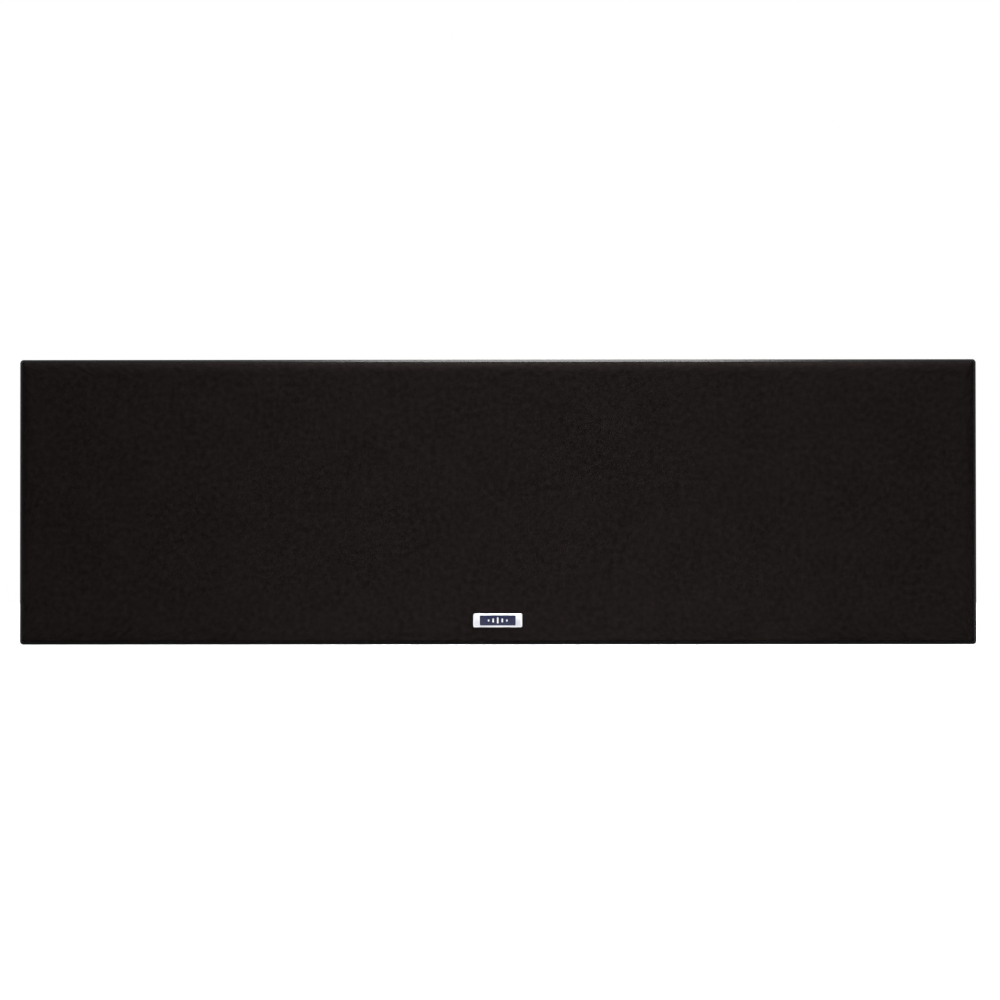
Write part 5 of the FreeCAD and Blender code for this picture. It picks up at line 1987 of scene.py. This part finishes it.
        return [(route[-1][0], self.face, route[-1][2]) for route in bends + tails]

    def tracks(self, wardrobe: Wardrobe) -> None:
        """Lay the copper tracks under the green mask.

        Args:
            wardrobe: where the material comes from.
        """
        places, edges = [], []
        for number, route in enumerate(self.routes):
            first = len(places)
            places += [(x * MM, z * MM, -number * self.track_step) for x, z in route]
            edges += [(k, k + 1) for k in range(first, len(places) - 1)]
        width, thickness = self.track
        sizes = {"Width": width, "Thickness": thickness, "Bend": self.track_bend, "Level": self.face}
        masked = wardrobe.special(MASKED_COPPER)
        piece = RepeatTrees.run("board_track_set", RepeatTrees.tracks(), places, masked, sizes, edges)
        settle(piece, "speaker")

    def screws(self, wardrobe: Wardrobe) -> None:
        """Make the screws of the board and of the terminal plate as one piece.

        Args:
            wardrobe: where the material comes from.
        """
        across, up = self.hole
        places = [(self.bay_x + a * across, self.face, b * up) for a in (-1, 1) for b in (-1, 1)]
        places += [(-self.bay_x, self.terminal_face, b * self.terminal_hole) for b in (-1, 1)]
        piece = self.screw.set_of(
            "board_screw_set", places, Facing.REAR, self.screw_seed, wardrobe.slot("zinc_screw"))
        settle(piece, "speaker", ["board_screws"])

    def build(self, wardrobe: Wardrobe) -> None:
        """Make everything that sits on the board.

        Args:
            wardrobe: where the materials come from.
        """
        self.coils(wardrobe)
        self.capacitor(wardrobe)
        self.resistor(wardrobe)
        self.tracks(wardrobe)
        pads = self.leads(wardrobe)
        sizes = {"Axis": Facing.REAR.value, "Radius": self.pad[0], "Height": self.pad[1]}
        tinned = wardrobe.special(TINNED)
        solder = RepeatTrees.run("solder_fillet_set", RepeatTrees.solder(), pads, tinned, sizes)
        settle(solder, "speaker")
        self.screws(wardrobe)


class CadNodes:
    """The CAD nodes that stay in view."""

    @staticmethod
    def dress(wardrobe: Wardrobe) -> None:
        """Give each shown node the finish of its slot.

        Args:
            wardrobe: where the materials come from.
        """
        for subpart in frame["record"]["subparts"]:
            node = frame["nodes"][subpart["node"]]
            node.data.materials.clear()
            node.data.materials.append(wardrobe.slot(subpart["material_slot"]))
            log.info("%s wears %s", node.name, subpart["material_slot"])


@dataclass
class Studio:
    """A pale floor, soft lamps and a long-lens camera in front of the grille."""

    image: int = 1000
    span: float = 956.2
    middle: Point2 = (497.7, 501.9)
    distance: float = 2.4
    rise: float = -0.7
    aside: float = 0.3
    roll: float = 0.04
    outline_depth: float = -9.9 * MM
    sensor: float = 36.0
    ambient: float = 0.09
    floor_side: float = 3.0
    floor_back: float = 1.6
    floor_front: float = -3.4
    floor_gap: float = 0.05 * MM
    floor_tones: tuple[Colour, Colour] = (grey(0.80), grey(0.83))
    lift: Point2 = (0.55, 1.0)
    lift_reach: Point2 = (0.5, 1.3)

    @staticmethod
    def seen(w: Wiring) -> Socket:
        """A mask of the rays that show the background: those of the camera, of gloss and of glass.

        Args:
            w: the wiring of the tree that needs it.

        Returns:
            The mask's socket.
        """
        path = w.node("ShaderNodeLightPath").outputs
        direct = w.math("MAXIMUM", path["Is Camera Ray"], path["Is Glossy Ray"])
        return w.math("MAXIMUM", direct, path["Is Transmission Ray"])

    def world(self) -> None:
        """Light from all round, with a white background for the camera and for reflections."""
        world = bpy.data.worlds.new("studio")
        bpy.context.scene.world = world
        world.use_nodes = True
        tree = world.node_tree
        tree.nodes.clear()
        w = Wiring(tree)
        lit = w.node("ShaderNodeBackground", {"Color": rgba(grey(1.0)), "Strength": self.ambient})
        white = w.node("ShaderNodeBackground", {"Color": rgba(grey(1.0)), "Strength": 1.0})
        both = w.node("ShaderNodeMixShader", {0: self.seen(w), 1: lit.outputs[0], 2: white.outputs[0]})
        w.node("ShaderNodeOutputWorld", {"Surface": both.outputs[0]})

    def floor(self) -> None:
        """A white floor under the object that keeps its shadow."""
        level = CAD_BOX[0][2] - self.floor_gap
        side, front, back = self.floor_side, self.floor_front, self.floor_back
        corners = [(-side, front, level), (side, front, level), (side, back, level), (-side, back, level)]
        sketch = SurfaceSketch("pale_floor")
        w = sketch.wiring
        drift = w.noise(sketch.place, 1.5, 2.0)
        dark, light = self.floor_tones
        sketch.surface(w.blend(drift, rgba(dark), rgba(light)), 0.9)
        sketch.constants(Specular_IOR_Level=0.0)
        away = w.vector("LENGTH", sketch.place).outputs["Value"]
        share = w.ramp(away, *self.lift_reach, *self.lift)
        strength = w.math("MULTIPLY", self.seen(w), share)
        lift = w.node("ShaderNodeEmission", {"Color": rgba(grey(1.0)), "Strength": strength})
        total = w.node("ShaderNodeAddShader", {0: sketch.shader.outputs[0], 1: lift.outputs[0]})
        output = sketch.material.node_tree.nodes["Material Output"]
        w.feed(output.inputs["Surface"], total.outputs[0])
        MeshShop.from_faces("floor", corners, [(0, 1, 2, 3)], sketch.material)

    def lamp(
        self, name: str, place: Point3, aim: Point3, size: Point2, watts: float, spread: float = 180.0
    ) -> None:
        """Add one soft rectangular lamp.

        Args:
            name: the lamp's name.
            place: where it hangs.
            aim: the point that it looks at.
            size: its width and height.
            watts: its power.
            spread: how wide its beam is, in degrees.
        """
        light = bpy.data.lights.new(name, "AREA")
        light.shape = "RECTANGLE"
        light.size, light.size_y = size
        light.energy = watts
        light.spread = math.radians(spread)
        lamp = bpy.data.objects.new(name, light)
        lamp.location = place
        lamp.rotation_euler = (Vector(aim) - Vector(place)).to_track_quat("-Z", "Y").to_euler()
        lamp.visible_camera = False
        bpy.context.scene.collection.objects.link(lamp)

    def lamps(self) -> None:
        """An overhead lamp for the rim, a close key strip, and fills in front and behind."""
        self.lamp("overhead", place=(0.05, -0.08, 0.95), aim=(0.05, -0.08, 0.0), size=(0.36, 0.22),
                  watts=2.7, spread=70.0)
        self.lamp("key", place=(0.03, -0.17, 0.32), aim=(0.03, 0.0, 0.04), size=(0.75, 0.08),
                  watts=0.46, spread=130.0)
        for side in Side:
            self.lamp(side.word + "_back_fill", place=(1.5 * side.value, 1.4, 1.0), aim=(0.0, 0.0, 0.0),
                      size=(2.2, 1.6), watts=35.0)
            self.lamp(side.word + "_front_fill", place=(1.0 * side.value, -1.4, -0.02),
                      aim=(0.0, 0.0, -0.05), size=(0.5, 0.12), watts=1.0)

    def camera(self) -> None:
        """A long lens from just below the middle, framed as the photograph is."""
        scene = bpy.context.scene
        low, high = CAD_BOX
        face = Vector((0.0, self.outline_depth, 0.0))
        metres = (high[0] - low[0]) / self.span
        lens = bpy.data.cameras.new("long_lens")
        lens.sensor_width = self.sensor
        lens.lens = self.sensor * self.distance / (metres * self.image)
        camera = bpy.data.objects.new("long_lens", lens)
        rise, aside = math.radians(self.rise), math.radians(self.aside)
        back = Vector((math.sin(aside) * math.cos(rise), -math.cos(aside) * math.cos(rise), math.sin(rise)))
        half = 0.5 * self.image
        offset = Vector((half - self.middle[0], 0.0, self.middle[1] - half)) * metres
        camera.location = face + back * self.distance + offset
        look = (-back).to_track_quat("-Z", "Y").to_matrix().to_4x4()
        turn = look @ Matrix.Rotation(math.radians(-self.roll), 4, "Z")
        camera.rotation_euler = turn.to_euler()
        scene.collection.objects.link(camera)
        scene.camera = camera

    def build(self) -> None:
        """Set the stage, the light and the camera."""
        self.world()
        self.floor()
        self.lamps()
        self.camera()
        bpy.context.scene.view_settings.view_transform = "Standard"


def main() -> None:
    """Dress the frame, add the pieces and set the stage."""
    logging.basicConfig(level=logging.INFO, format="%(name)s: %(message)s")
    wardrobe = Wardrobe()
    CadNodes.dress(wardrobe)
    GrilleCloth().build(wardrobe)
    Badge().build(wardrobe)
    for side in Side:
        Woofer(side).build(wardrobe)
    DriverScrews().build(wardrobe)
    ClampScrews().build(wardrobe)
    Crossover().build(wardrobe)
    Studio().build()


if __name__ == "__main__":
    main()
